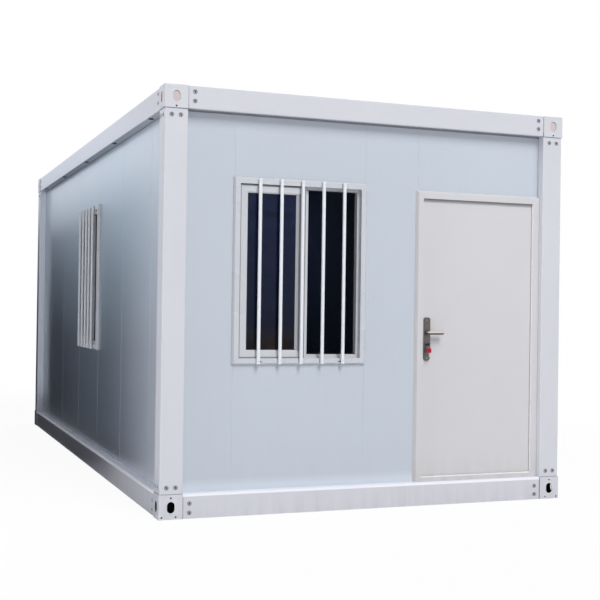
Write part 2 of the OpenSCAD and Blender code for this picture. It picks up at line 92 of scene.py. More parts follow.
class CabinColours(bpy.types.PropertyGroup):
    steel: colour_setting("Steel frame", "Paint of the posts, beams and fittings",
                          (0.60, 0.605, 0.65))
    panel: colour_setting("Wall panels", "Outer skin of the wall panels", (0.50, 0.545, 0.61))
    # Painted shade: the inner skins are painted dark grey, as the shade of the room seen through
    # the windows
    inner: colour_setting("Inner skins", "Inner skin of the walls and ceiling", (0.30, 0.31, 0.33))
    trim: colour_setting("Window profiles", "Window frames and sashes", (0.55, 0.565, 0.60))
    bar: colour_setting("Guard bars", "Coating of the window bars", (0.76, 0.78, 0.82))
    door: colour_setting("Door", "Paint of the door leaf and its frame", (0.585, 0.575, 0.59))
    glass: colour_setting("Glass", "Tint of the panes", (0.003, 0.006, 0.020))
    lock: colour_setting("Lock furniture", "Brushed metal of plates and levers",
                         (0.16, 0.148, 0.14))
    key: colour_setting("Key heads", "Moulded heads of the keys", (0.42, 0.006, 0.022))
    primer: colour_setting("Primer", "Primed plates behind the upper ovals", (0.62, 0.47, 0.44))


class CabinSizes(bpy.types.PropertyGroup):
    bolt_across: length_setting("Bolt place", "First bolt's distance from the corner", 0.050)
    bolt_pitch: length_setting("Bolt pitch", "Distance between the two bolts of a pair", 0.060)
    bolt_along: length_setting("Bolt row", "Distance of a bolt row from the fitting", 0.044)
    head_d: length_setting("Bolt head", "Diameter of a bolt's head", 0.017)
    washer_d: length_setting("Washer", "Diameter of a bolt's washer", 0.030)
    screw_d: length_setting("Screw head", "Diameter of a small screw's head", 0.009)
    seal_w: length_setting("Pane seal", "Face width of the rubber round a pane", 0.003)
    # Painted shade: the sash seal is widened to stand for the shade in the recess round a sash
    sash_seal_w: length_setting("Sash seal", "Face width of the seal round a sash", 0.013)
    joint_w: length_setting("Corner joint", "Width of the open joint at a corner fitting", 0.0026)
    rib_pitch: length_setting("Micro rib pitch", "Distance between a panel's fine ribs", 0.019)
    roof_screws: IntProperty(name="Roof screws", default=5, min=2, max=12,
                             description="Screws along each rib of the roof sheet")


def colours():
    return bpy.context.scene.cabin_colours


def sizes():
    return bpy.context.scene.cabin_sizes


# ---------------------------------------------------------------- shaders

# What has settled on the finishes, or shows through them, and two painted colours: a painted
# reflection low in the glass and a painted shade inside the hollow fittings
STEEL_DUST = (0.30, 0.27, 0.24)
WALL_DUST = (0.33, 0.31, 0.28)
PROFILE_DUST = (0.36, 0.34, 0.31)
DOOR_DUST = (0.36, 0.32, 0.27)
HAND_MARKS = (0.34, 0.31, 0.28)
GLASS_DUST = (0.30, 0.30, 0.32)
# Painted reflection: brown low in the glass
GLASS_FOOT_REFLECTION = (0.030, 0.018, 0.008)
RUBBER_DUST = (0.12, 0.12, 0.13)
ROOF_DUST = (0.30, 0.28, 0.25)
RUST = (0.20, 0.09, 0.04)
# Painted shade: near black for the inner faces of the hollow corner fittings
HOLLOW_SHADE = (0.012, 0.012, 0.013)


class Value:
    """A shader socket; arithmetic on it adds Math nodes to its tree."""

    def __init__(self, shader, socket):
        self.shader = shader
        self.socket = socket

    def maths(self, operation, *inputs):
        return self.shader.node("ShaderNodeMath", {"operation": operation},
                                dict(enumerate(inputs)))

    def __add__(self, other):
        return self.maths("ADD", self, other)

    def __radd__(self, other):
        return self.maths("ADD", other, self)

    def __sub__(self, other):
        return self.maths("SUBTRACT", self, other)

    def __rsub__(self, other):
        return self.maths("SUBTRACT", other, self)

    def __mul__(self, other):
        return self.maths("MULTIPLY", self, other)

    def __rmul__(self, other):
        return self.maths("MULTIPLY", other, self)

    def __truediv__(self, other):
        return self.maths("DIVIDE", self, other)

    def __pow__(self, other):
        return self.maths("POWER", self, other)

    def __abs__(self):
        return self.maths("ABSOLUTE", self)

    def above(self, limit):
        return self.maths("GREATER_THAN", self, limit)

    def below(self, limit):
        return self.maths("LESS_THAN", self, limit)

    def at_least(self, other):
        return self.maths("MAXIMUM", self, other)

    def clamped(self):
        return self.shader.node("ShaderNodeClamp", {}, {"Value": self})

    def sine(self):
        return self.maths("SINE", self)


class Shader:
    """Builds the nodes of one material, or of the world that it is given; node() makes
    every kind of node."""

    def __init__(self, name, world=None):
        self.material = world or bpy.data.materials.new(name)
        self.material.use_nodes = True
        self.tree = self.material.node_tree
        self.tree.nodes.clear()
        self.place = None

    def node(self, kind, settings, inputs, output=0):
        made = self.tree.nodes.new(kind)
        for name, value in settings.items():
            if name == "stops":
                self.set_stops(made.color_ramp, value)
            else:
                setattr(made, name, value)
        for name, value in inputs.items():
            if isinstance(value, Value):
                self.tree.links.new(value.socket, made.inputs[name])
            else:
                made.inputs[name].default_value = value
        return None if output is None else Value(self, made.outputs[output])

    @staticmethod
    def set_stops(ramp, stops):
        while len(ramp.elements) < len(stops):
            ramp.elements.new(1.0)
        for element, (position, colour) in zip(ramp.elements, stops):
            element.position = position
            element.color = colour

    def coordinates(self):
        if self.place is None:
            self.place = self.node("ShaderNodeTexCoord", {}, {}, "Object")
        return self.place

    def axes(self):
        split = self.node("ShaderNodeSeparateXYZ", {}, {0: self.coordinates()}).socket.node
        return [Value(self, socket) for socket in split.outputs]

    def stretched(self, scale):
        return self.node("ShaderNodeMapping", {},
                         {"Vector": self.coordinates(), "Scale": scale})

    def noise(self, scale, detail=2.0, rough=0.5, vector=None):
        return self.node("ShaderNodeTexNoise", {}, {
            "Vector": vector or self.coordinates(), "Scale": scale, "Detail": detail,
            "Roughness": rough})

    def blend(self, factor, first, second):
        """first where factor is 0, second where it is 1; the Mix node's colour sockets."""
        return self.node("ShaderNodeMix", {"data_type": "RGBA"},
                         {0: factor, 6: opaque(first), 7: opaque(second)}, 2)

    def glancing(self, start, most):
        """0 where a surface is seen face on, rising to most where it is seen edge on."""
        facing = self.node("ShaderNodeLayerWeight", {}, {"Blend": 0.5}, 1)
        return ((facing - start) / (1.0 - start)).clamped() * most

    def bump(self, height, distance):
        return self.node("ShaderNodeBump", {},
                         {"Height": height, "Distance": distance, "Strength": 1.0})

    def surface(self, base, roughness, normal=None, **fixed):
        inputs = {"Base Color": opaque(base), "Roughness": roughness}
        if normal is not None:
            inputs["Normal"] = normal
        for name, value in fixed.items():
            inputs[name.replace("_", " ")] = value
        self.finish(self.node("ShaderNodeBsdfPrincipled", {}, inputs))
        return self.material

    def finish(self, closure, output="ShaderNodeOutputMaterial"):
        self.node(output, {}, {"Surface": closure}, None)


def opaque(colour):
    """A colour as a socket takes it: with its alpha, or the link as it is."""
    return colour if isinstance(colour, Value) else (*colour[:3], 1.0)


def scaled(colour, factor):
    return tuple(channel * factor for channel in colour[:3])


def grime_mask(shader, height, top):
    """1 at height, falling to 0 at top, broken up by streaks that run down."""
    z = shader.axes()[2]
    fall = ((top - z) / (top - height)).clamped()
    streaks = shader.noise(1.0, 4.0, 0.6, shader.stretched((14.0, 14.0, 1.6)))
    return (fall * fall * ((streaks - 0.32) * 2.2).clamped()).clamped()


def inside_fitting(x, y, z):
    """1 on the inner faces of the corner fittings, which start a paint's depth in."""
    depth = 0.0018
    half_post = (TOP_LINE - FITTING_TOP) / 2.0
    return (abs(x).below(HIGH.x - depth) * abs(y).below(HIGH.y - depth)
            * z.above(LOW.z + depth) * z.below(HIGH.z - depth)
            * abs(z - (LOW.z + HIGH.z) / 2.0).above(half_post + 0.0005))


def painted_steel(name, colour, grime=0.30, ledge=False, hollow=False, primer=None):
    """Sprayed paint on folded steel: faint clouding, fine peel and a dusty foot. The bottom
    beams' ledge is painted lighter, a painted highlight along its top; a hollow fitting is
    painted near black inside, a painted shade in its hollow, and the plates behind its upper
    ovals are primed."""
    highlight_reach, foot_h, plate_depth, plate_foot = 0.017, 0.32, 0.0095, 0.03
    shader = Shader(name)
    clouds = shader.noise(1.7, 3.0)
    base = shader.blend(clouds, scaled(colour, 0.965), scaled(colour, 1.03))
    wipes = shader.noise(1.0, 3.0, 0.6, shader.stretched((3.0, 3.0, 26.0)))
    base = shader.blend(((wipes - 0.55) * 0.6).clamped(), base, scaled(colour, 0.88))
    dirt = grime_mask(shader, LOW.z, LOW.z + foot_h) * grime
    base = shader.blend(dirt, base, STEEL_DUST)
    sheen = shader.glancing(0.62, 1.8)
    x, y, z = shader.axes()
    if ledge:
        # Painted highlight: the top of the bottom beams' ledge is painted lighter, as where light
        # falls on it
        ledge_highlight = z.above(FITTING_TOP - highlight_reach) * z.below(FITTING_TOP + 0.0005)
        base = shader.blend(ledge_highlight, base, scaled(colour, 1.27))
        sheen = sheen * (1.0 - ledge_highlight)
    if hollow:
        inside = inside_fitting(x, y, z)
        # Painted shade: the inner faces of a hollow fitting are painted near black, so that its
        # holes read dark
        base = shader.blend(inside, base, HOLLOW_SHADE)
        sheen = sheen * (1.0 - inside)
        if primer is not None:
            blank = abs(x).above(HIGH.x - plate_depth) + abs(y).above(HIGH.y - plate_depth)
            worn = shader.noise(34.0, 4.0, 0.65)
            patchy = shader.blend((worn * 1.6 - 0.4).clamped(), primer, scaled(colour, 0.86))
            plates = inside * blank.clamped() * z.above(TOP_LINE + plate_foot)
            base = shader.blend(plates, base, patchy)
    rough = clouds * 0.10 + 0.33 + dirt * 0.3
    peel = shader.noise(420.0, 2.0)
    return shader.surface(base, rough, shader.bump(peel, 0.00012), Metallic=sheen,
                          Coat_Weight=0.25, Coat_Roughness=0.18)


def panel_skin(name, colour, inner):
    """Pre-painted glossy skin with fine upright ribs, a lighter band along its foot that is a
    painted reflection of the bottom beams' ledge, and a matt inner face."""
    foot_h, reflection_h, reflection_fade, skin_depth = 0.45, 0.085, 0.06, 0.012
    shader = Shader(name)
    x, y, z = shader.axes()
    ribs = ((x + y) * (2.0 * math.pi / sizes().rib_pitch)).sine()
    streaks = shader.noise(1.0, 3.0, 0.55, shader.stretched((70.0, 70.0, 0.5)))
    clouds = shader.noise(0.9, 2.0)
    skin = shader.blend(clouds, scaled(colour, 0.97), scaled(colour, 1.03))
    skin = shader.blend((streaks * 0.9 - 0.28).clamped() * 0.22, skin, scaled(colour, 0.86))
    dirt = grime_mask(shader, FITTING_TOP, FITTING_TOP + foot_h) * 0.10
    skin = shader.blend(dirt, skin, WALL_DUST)
    # Painted reflection: a lighter band just above the bottom beams, as the glossy skin mirroring
    # their ledge
    ledge_reflection = ((FITTING_TOP + reflection_h - z) / reflection_fade).clamped()
    skin = shader.blend(ledge_reflection * 0.8, skin, scaled(colour, 1.22))
    # Painted shade: the inner skin takes the dark grey inner colour, which stands for the room's
    # shade
    inside = abs(x).below(SIDE_X - skin_depth) * abs(y).below(-FRONT_Y - skin_depth)
    base = shader.blend(inside, skin, inner)
    rough = 0.27 + clouds * 0.08 + inside * 0.3 + dirt * 0.4
    height = ribs * 0.5 + streaks * 0.9
    return shader.surface(base, rough, shader.bump(height, 0.00016),
                          Metallic=shader.glancing(0.55, 1.7),
                          Coat_Weight=0.5, Coat_Roughness=0.12)


def moulded_profile(name, colour):
    """Extruded white plastic, faintly clouded and dusty."""
    shader = Shader(name)
    clouds = shader.noise(5.0, 3.0)
    base = shader.blend(clouds, scaled(colour, 0.965), scaled(colour, 1.03))
    dust = ((shader.noise(11.0, 4.0, 0.6) - 0.52) * 1.4).clamped()
    base = shader.blend(dust * 0.16, base, PROFILE_DUST)
    grain = shader.noise(260.0, 2.0)
    return shader.surface(base, 0.24 + clouds * 0.08, shader.bump(grain, 0.00005),
                          Coat_Weight=0.2, Coat_Roughness=0.1)


def powder_coat(name, colour):
    """Powder coating: even, with a tight orange peel."""
    shader = Shader(name)
    clouds = shader.noise(7.0, 2.0)
    base = shader.blend(clouds, scaled(colour, 0.96), scaled(colour, 1.03))
    peel = shader.noise(700.0, 1.0)
    return shader.surface(base, 0.26 + clouds * 0.1, shader.bump(peel, 0.0001))


def door_paint(name, colour):
    """Warm white paint with a rolled texture, hand marks by the lock and a dusty foot."""
    marks_x, marks_z, foot_h = 0.16, 0.24, 0.30
    shader = Shader(name)
    x, _, z = shader.axes()
    clouds = shader.noise(2.2, 3.0)
    base = shader.blend(clouds, scaled(colour, 0.975), scaled(colour, 1.025))
    lever_low, lever_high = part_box("door_levers")
    across = abs(x - (lever_low.x + lever_high.x) / 2.0) / marks_x
    up = abs(z - (lever_low.z + lever_high.z) / 2.0) / marks_z
    near = (1.0 - across * across - up * up).clamped()
    smears = ((shader.noise(18.0, 5.0, 0.65) - 0.45) * 2.2).clamped()
    base = shader.blend(near * smears * 0.16, base, HAND_MARKS)
    dirt = grime_mask(shader, FITTING_TOP, FITTING_TOP + foot_h) * 0.34
    base = shader.blend(dirt, base, DOOR_DUST)
    rolled = shader.noise(190.0, 3.0, 0.6)
    return shader.surface(base, 0.36 + clouds * 0.08 + dirt * 0.3, shader.bump(rolled, 0.00018),
                          Coat_Weight=0.15, Coat_Roughness=0.2)


def brushed_metal(name, colour, direction, roughness=0.30, shaded_below=None):
    """Metal brushed along one direction, with rubbed and tarnished patches; its last argument is
    a height below which it is painted dark, a painted shade on its underside."""
    along_brush, across_brush, shade_fade = 60.0, 1400.0, 0.005
    shader = Shader(name)
    fine = [along_brush if axis else across_brush for axis in direction]
    lines = shader.noise(1.0, 2.0, 0.5, shader.stretched(fine))
    patches = shader.noise(40.0, 3.0)
    base = shader.blend(lines, scaled(colour, 0.82), scaled(colour, 1.2))
    base = shader.blend((patches - 0.4).clamped() * 0.8, base, scaled(colour, 0.62))
    if shaded_below is not None:
        # Painted shade: darker below the given height, on the lever's underside
        under = ((shaded_below - shader.axes()[2]) / shade_fade).clamped()
        base = shader.blend(under, base, scaled(colour, 0.22))
    rough = roughness + patches * 0.14 + lines * 0.06
    return shader.surface(base, rough, shader.bump(lines, 0.00004), Metallic=1.0)


def zinc_plate(name, colour):
    """Zinc-plated fixings, a little cloudy."""
    shader = Shader(name)
    clouds = shader.noise(160.0, 3.0)
    base = shader.blend(clouds, scaled(colour, 0.75), colour)
    return shader.surface(base, 0.30 + clouds * 0.2, Metallic=0.85)


def sealing_rubber(name, colour):
    """Soft sealing rubber, dusty in places."""
    shader = Shader(name)
    dust = shader.noise(60.0, 3.0)
    base = shader.blend((dust - 0.45).clamped() * 0.8, colour, RUBBER_DUST)
    return shader.surface(base, 0.62 + dust * 0.2, shader.bump(dust, 0.0001))


def moulded_key(name, colour):
    """Glossy red moulding with small scuffs."""
    shader = Shader(name)
    scuffs = shader.noise(420.0, 3.0, 0.6)
    base = shader.blend((scuffs - 0.55).clamped(), colour, scaled(colour, 1.5))
    return shader.surface(base, 0.22 + scuffs * 0.2, shader.bump(scuffs, 0.00005),
                          Specular_IOR_Level=0.2)


def tinted_glass(name, colour):
    """Dark glass that shows a little of the room, painted lighter towards its top and with faint
    level streaks, both painted reflections, a brown painted reflection along its foot broken up
    by dust, and faint dust.
    """
    shader = Shader(name)
    z = shader.axes()[2]
    dust = shader.noise(9.0, 4.0, 0.65)
    streaks = shader.noise(1.0, 3.0, 0.55, shader.stretched((2.0, 2.0, 34.0)))
    low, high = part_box("front_window_glass")
    level = ((z - low.z) / (high.z - low.z)).clamped()
    # Painted reflection: the panes are lighter towards their top, and faintly streaked level
    base = shader.blend(level, scaled(colour, 0.7), scaled(colour, 2.6))
    base = shader.blend(((streaks - 0.42) * 3.0).clamped() * level, base, scaled(colour, 0.8))
    # Painted reflection: brown along the foot of the panes, broken up by noise
    foot = (1.0 - level * 6.0).clamped()
    base = shader.blend(foot * (dust * 1.2).clamped(), base, GLASS_FOOT_REFLECTION)
    base = shader.blend((dust - 0.50).clamped() * 0.06, base, GLASS_DUST)
    return shader.surface(base, 0.03 + dust * 0.03, IOR=1.5, Specular_IOR_Level=0.15, Alpha=0.9)


def floor_vinyl(name):
    """Vinyl-faced board with a fleck."""
    shader = Shader(name)
    fleck = shader.noise(240.0, 4.0, 0.7)
    wear = shader.noise(1.6, 3.0)
    base = shader.blend(fleck, (0.16, 0.13, 0.10), (0.26, 0.22, 0.18))
    base = shader.blend(wear * 0.4, base, (0.30, 0.27, 0.23))
    return shader.surface(base, 0.42 + wear * 0.15, shader.bump(fleck, 0.0001))


def ribbed_roof(name, colour):
    """Roof sheet: coated steel with water stains between its ribs."""
    shader = Shader(name)
    stains = shader.noise(1.0, 5.0, 0.6, shader.stretched((1.5, 9.0, 9.0)))
    specks = shader.noise(90.0, 3.0, 0.6)
    base = shader.blend(((stains - 0.42) * 1.8).clamped() * 0.5, colour, scaled(colour, 0.62))
    base = shader.blend((specks - 0.58).clamped() * 1.2, base, ROOF_DUST)
    return shader.surface(base, 0.36 + stains * 0.2, shader.bump(specks, 0.0001))


def joist_steel(name):
    """Dark painted folded steel under the floor."""
    shader = Shader(name)
    patches = shader.noise(6.0, 4.0, 0.6)
    base = shader.blend(patches, (0.14, 0.15, 0.17), (0.22, 0.23, 0.25))
    rust = ((shader.noise(24.0, 5.0, 0.65) - 0.58) * 4.0).clamped()
    base = shader.blend(rust * 0.5, base, RUST)
    return shader.surface(base, 0.5 + rust * 0.3, shader.bump(patches, 0.0002))


# Every finish by name; each makes its material from the colour settings
MAKERS = {
    "steel": lambda c: painted_steel("steel_paint", c.steel, ledge=True),
    "fitting": lambda c: painted_steel("fitting_paint", c.steel, hollow=True),
    "top_fitting": lambda c: painted_steel("top_fitting_paint", c.steel, hollow=True,
                                           primer=c.primer),
    "panel": lambda c: panel_skin("panel_skin", c.panel, c.inner),
    "ceiling": lambda c: painted_steel("ceiling_paint", c.inner, grime=0.0),
    "trim": lambda c: moulded_profile("window_profile", c.trim),
    "bar": lambda c: powder_coat("bar_coating", c.bar),
    "door": lambda c: door_paint("door_paint", c.door),
    "glass": lambda c: tinted_glass("tinted_glass", c.glass),
    "plate": lambda c: brushed_metal("brushed_plate", c.lock, (0, 0, 1)),
    # The lever's metal is painted dark below its spindle, a painted shade on its underside
    "lever": lambda c: brushed_metal("brushed_lever", scaled(c.lock, 5.0), (1, 0, 0), 0.20,
                                     spindle().z + 0.003),
    "key_metal": lambda c: brushed_metal("key_metal", scaled(c.lock, 0.8), (0, 1, 0), 0.35),
    "zinc": lambda c: zinc_plate("zinc_plate", (0.62, 0.63, 0.65)),
    "dull_zinc": lambda c: zinc_plate("dull_zinc_plate", (0.33, 0.33, 0.36)),
    # Painted shade: this grey serves the strips that stand for shade at the wall heads, the door
    # head and round the sashes
    "seal": lambda c: sealing_rubber("grey_seal", (0.24, 0.245, 0.26)),
    # Painted light: a light white for the door stop's liner, standing for light on shaded faces
    "liner": lambda c: moulded_profile("stop_liner", (0.84, 0.83, 0.84)),
    # Painted shade: a darker copy of the window profile, for the shaded meeting hook
    "hook": lambda c: moulded_profile("meeting_hook", scaled(c.trim, 0.62)),
    "rubber": lambda c: sealing_rubber("seal_rubber", (0.018, 0.018, 0.02)),
    "joint": lambda c: sealing_rubber("open_joint", (0.17, 0.17, 0.18)),
    "key": lambda c: moulded_key("key_moulding", c.key),
    "floor": lambda c: floor_vinyl("floor_vinyl"),
    "roof": lambda c: ribbed_roof("roof_coating", scaled(c.steel, 0.86)),
    "joist": lambda c: joist_steel("joist_steel"),
}
made_materials = {}


def finish_of(name):
    """The material of that name, made the first time that it is asked for."""
    if name not in made_materials:
        made_materials[name] = MAKERS[name](colours())
    return made_materials[name]


def coat(node, name):
    """Gives a CAD node a finish."""
    for material_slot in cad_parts[node].material_slots:
        material_slot.material = finish_of(name)


# ---------------------------------------------------------------- meshes

def linked(elements, kind):
    """The verts, edges or faces that some elements touch, each once, in a fixed order."""
    return list(dict.fromkeys(found for element in elements for found in getattr(element, kind)))


def box(bm, low, high, bevel=0.0):
    """A box between two corners, with its edges rounded by bevel."""
    low, high = Vector(low), Vector(high)
    size = high - low
    made = bmesh.ops.create_cube(bm, size=1.0)["verts"]
    bmesh.ops.scale(bm, vec=size, verts=made)
    bmesh.ops.translate(bm, vec=(low + high) / 2.0, verts=made)
    if bevel > 0.0:
        bmesh.ops.bevel(bm, geom=linked(made, "link_edges"), offset=bevel, segments=2,
                        profile=0.5, affect="EDGES", material=-1)


def block(bm, a, b, bevel=0.0):
    """A box between any two opposite corners."""
    box(bm, [min(p, q) for p, q in zip(a, b)], [max(p, q) for p, q in zip(a, b)], bevel)


def turned(axis, centre=(0.0, 0.0, 0.0)):
    """A matrix that takes +Z to axis and the origin to centre."""
    turn = Vector((0, 0, 1)).rotation_difference(Vector(axis))
    return Matrix.Translation(centre) @ turn.to_matrix().to_4x4()


def rod(bm, matrix, radius, length, segments=20, end_radius=None):
    """A round bar from the matrix's origin along its Z; gives back its far face."""
    end_radius = radius if end_radius is None else end_radius
    bmesh.ops.create_cone(bm, cap_ends=True, cap_tris=False, segments=segments,
                          radius1=radius, radius2=end_radius, depth=length,
                          matrix=matrix @ Matrix.Translation((0, 0, length / 2.0)))
    bm.faces.ensure_lookup_table()
    tip = matrix @ Vector((0, 0, length))
    return min(bm.faces[-segments - 2:], key=lambda face: (face.calc_center_median() - tip).length)


def sink(bm, face, rim, move):
    """Sinks a recess into a face, with a rim left round it; gives back its floor."""
    bmesh.ops.inset_individual(bm, faces=[face], thickness=rim)
    floor = bmesh.ops.extrude_discrete_faces(bm, faces=[face])["faces"]
    bmesh.ops.translate(bm, vec=move, verts=linked(floor, "verts"))
    return floor


def socket_head(bm, matrix, washer_d, head_d, washer_t, head_t):
    """A domed screw head on a washer, with a driving socket sunk in its top. Its
    materials are the washer's, the socket's and the head's; the callers give the socket a
    near black, a painted shade in its recess."""
    crown, rim, socket_depth = head_d * 0.36, head_d * 0.10, head_t * 0.75
    if washer_t > 0.0:
        rod(bm, matrix, washer_d / 2.0, washer_t, 24)
    first = len(bm.faces)
    on_washer = matrix @ Matrix.Translation((0, 0, washer_t))
    top = rod(bm, on_washer, head_d / 2.0, head_t, 18, crown)
    bm.faces.ensure_lookup_table()
    for face in bm.faces[first:]:
        face.material_index = 2
    # Painted shade: the socket's faces take the near black second finish
    for face in sink(bm, top, rim, matrix.to_3x3() @ Vector((0, 0, -socket_depth))):
        face.material_index = 1
        for edge in face.edges:
            for side in edge.link_faces:
                side.material_index = 1


def ring(bm, x0, x1, z0, z1, y0, y1, width, slope=0.0):
    """A rectangular ring in the XZ plane from y0 to y1, its inner edge width inside;
    slope moves the front of the inner edge along Y."""
    corners = [bm.verts.new((x, y0, z)) for x, z in ((x0, z0), (x1, z0), (x1, z1), (x0, z1))]
    face = bm.faces.new(corners)
    face.normal_update()
    bmesh.ops.inset_individual(bm, faces=[face], thickness=width)
    inner = list(face.verts)
    around = linked(corners, "link_faces")
    bmesh.ops.delete(bm, geom=[face], context="FACES_ONLY")
    made = bmesh.ops.extrude_face_region(bm, geom=around, use_keep_orig=True)["geom"]
    back = [v for v in made if isinstance(v, bmesh.types.BMVert)]
    bmesh.ops.translate(bm, vec=(0, y1 - y0, 0), verts=back)
    if slope:
        bmesh.ops.translate(bm, vec=(0, slope, 0), verts=inner)


def add_piece(name, bm, finishes, body, smooth=0.0):
    """Closes a bmesh into a piece that rides on a body. Its parts are sorted by place,
    because extrusion leaves them in an order that changes from run to run."""
    bmesh.ops.remove_doubles(bm, verts=bm.verts, dist=1e-6)
    bmesh.ops.recalc_face_normals(bm, faces=bm.faces)
    bm.verts.sort(key=lambda vert: vert.co.dot(SORTING))
    bm.faces.sort(key=lambda face: face.calc_center_median().dot(SORTING))
    mesh = bpy.data.meshes.new(name)
    bm.to_mesh(mesh)
    bm.free()
    if smooth > 0.0:
        mesh.shade_smooth()
        mesh.set_sharp_from_angle(angle=math.radians(smooth))
    piece = bpy.data.objects.new(name, mesh)
    bpy.context.scene.collection.objects.link(piece)
    for finish in finishes:
        mesh.materials.append(finish_of(finish))
    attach(piece, body)
    return piece


# ---------------------------------------------------------------- frame fixings

def corner_signs():
    """The signs of X and Y at the four corners."""
    return [(sx, sy) for sx in (-1, 1) for sy in (-1, 1)]


def frame_bolt_places():
    """Each bolt of the frame as (centre, outward direction)."""
    s = sizes()
    nearer_edge = 0.012
    across = (s.bolt_across, s.bolt_across + s.bolt_pitch)
    end_y = -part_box("top_front_beam")[0].y
    side_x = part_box("top_right_beam")[1].x
    levels = ((LOW.z, FITTING_TOP, 1), (HIGH.z, TOP_LINE, -1))
    for sx, sy in corner_signs():
        for outer_z, line_z, up in levels:
            row = line_z + up * s.bolt_along
            beam_heights = [outer_z + up * (d - nearer_edge) for d in across]
            for d in across:
                yield (sx * (HIGH.x - d), sy * end_y, row), (0, sy, 0)
                yield (sx * side_x, sy * (HIGH.y - d), row), (sx, 0, 0)
            for z in beam_heights:
                yield (sx * (-POST_IN_X - s.bolt_along), sy * end_y, z), (0, sy, 0)
                yield (sx * side_x, sy * (-POST_IN_Y - s.bolt_along), z), (sx, 0, 0)


class CABIN_OT_steel_frame(bpy.types.Operator):
    """Paint the posts, beams and fittings"""
    bl_idname = "cabin.steel_frame"
    bl_label = "Steel frame"

    def execute(self, context):
        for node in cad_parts:
            if node.endswith(("_post", "_beam")):
                coat(node, "steel")
        coat("bottom_corner_fittings", "fitting")
        coat("top_corner_fittings", "top_fitting")
        return {"FINISHED"}


class CABIN_OT_frame_bolts(bpy.types.Operator):
    """Put a washer and a socket head at each joint of the frame"""
    bl_idname = "cabin.frame_bolts"
    bl_label = "Frame bolts"

    def execute(self, context):
        s = sizes()
        washer_t, head_t = 0.0012, 0.0036
        bm = bmesh.new()
        for centre, outwards in frame_bolt_places():
            socket_head(bm, turned(outwards, centre), s.washer_d, s.head_d, washer_t, head_t)
        add_piece("frame_bolts", bm, ("steel", "rubber", "dull_zinc"), "cabin", 40)
        return {"FINISHED"}


class CABIN_OT_beam_grommets(bpy.types.Operator):
    """Rubber grommets in the holes under the long top beams"""
    bl_idname = "cabin.beam_grommets"
    bl_label = "Beam grommets"

    def execute(self, context):
        end_margin, flange, crown, lip_t, wall_t, depth = 0.1, 0.004, 0.001, 0.005, 0.006, 0.0045
        bm = bmesh.new()
        for node in ("top_left_beam", "top_right_beam"):
            low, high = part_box(node)
            rim = [v.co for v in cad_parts[node].data.vertices
                   if abs(v.co.z - low.z) < SAME_PLACE and abs(v.co.y) < high.y - end_margin]
            near_x, far_x = min(p.x for p in rim), max(p.x for p in rim)
            radius = (far_x - near_x) / 2.0
            for y in hole_middles(sorted(p.y for p in rim), radius):
                down = turned((0, 0, -1), ((near_x + far_x) / 2.0, y, low.z))
                lip = rod(bm, down, radius + flange, lip_t, 32, radius + crown)
                sink(bm, lip, wall_t, (0, 0, depth))
        add_piece("beam_grommets", bm, ("rubber",), "cabin", 40)
        return {"FINISHED"}


def hole_middles(places, radius):
    """The middles of the round holes whose rim vertices have these places along a beam."""
    groups = []
    for place in places:
        if not groups or place - groups[-1][0] > 2.0 * radius + 0.001:
            groups.append([place])
        groups[-1].append(place)
    return [(group[0] + group[-1]) / 2.0 for group in groups]


class CABIN_OT_corner_joints(bpy.types.Operator):
    """Dark open joints where the beams and posts meet the corner fittings"""
    bl_idname = "cabin.corner_joints"
    bl_label = "Corner joints"

    def execute(self, context):
        w = sizes().joint_w
        end_y = -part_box("top_front_beam")[0].y
        side_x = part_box("top_right_beam")[1].x
        thin, corner_gap = 0.0006, 0.008
        bm = bmesh.new()
        for sx, sy in corner_signs():
            for z0, z1, line, up in ((LOW.z + 0.002, FITTING_TOP - 0.02, FITTING_TOP, 1),
                                     (TOP_LINE + 0.004, HIGH.z - corner_gap, TOP_LINE, -1)):
                x = -sx * POST_IN_X
                y = -sy * POST_IN_Y
                spans = (
                    ((x - sx * w, sy * end_y, z0), (x, sy * (end_y + thin), z1)),
                    ((sx * side_x, y - sy * w, z0), (sx * (side_x + thin), y, z1)),
                    ((x, sy * end_y, line),
                     (sx * (side_x - corner_gap), sy * (end_y + thin), line + up * w)),
                    ((sx * side_x, y, line),
                     (sx * (side_x + thin), sy * (end_y - corner_gap), line + up * w)),
                )
                for a, b in spans:
                    block(bm, a, b)
        add_piece("corner_joints", bm, ("joint",), "cabin")
        return {"FINISHED"}


# ---------------------------------------------------------------- walls, floor, roof

class CABIN_OT_walls(bpy.types.Operator):
    """Finish the four walls' panels, and add the tongues and the grey head strips, which stand for
    the shade line under the top beams (painted shade)
    """
    bl_idname = "cabin.walls"
    bl_label = "Walls"

    def execute(self, context):
        bm = bmesh.new()
        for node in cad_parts:
            if "_wall_" in node:
                coat(node, "panel")
                fill_joints(bm, node)
        add_piece("panel_joints", bm, ("panel",), "cabin")
        # Painted shade: grey strips along the wall heads stand for the shade line under the top
        # beams
        shade_strip_h, proud, rounding = 0.007, 0.004, 0.001
        bm = bmesh.new()
        for sx in (-1, 1):
            spans = (((sx * SIDE_X, POST_IN_Y), (sx * (SIDE_X + proud), -POST_IN_Y)),
                     ((POST_IN_X, sx * FRONT_Y), (-POST_IN_X, sx * (FRONT_Y - proud))))
            for a, b in spans:
                block(bm, (*a, TOP_LINE - shade_strip_h), (*b, TOP_LINE), rounding)
        add_piece("head_seals", bm, ("seal",), "cabin")
        return {"FINISHED"}


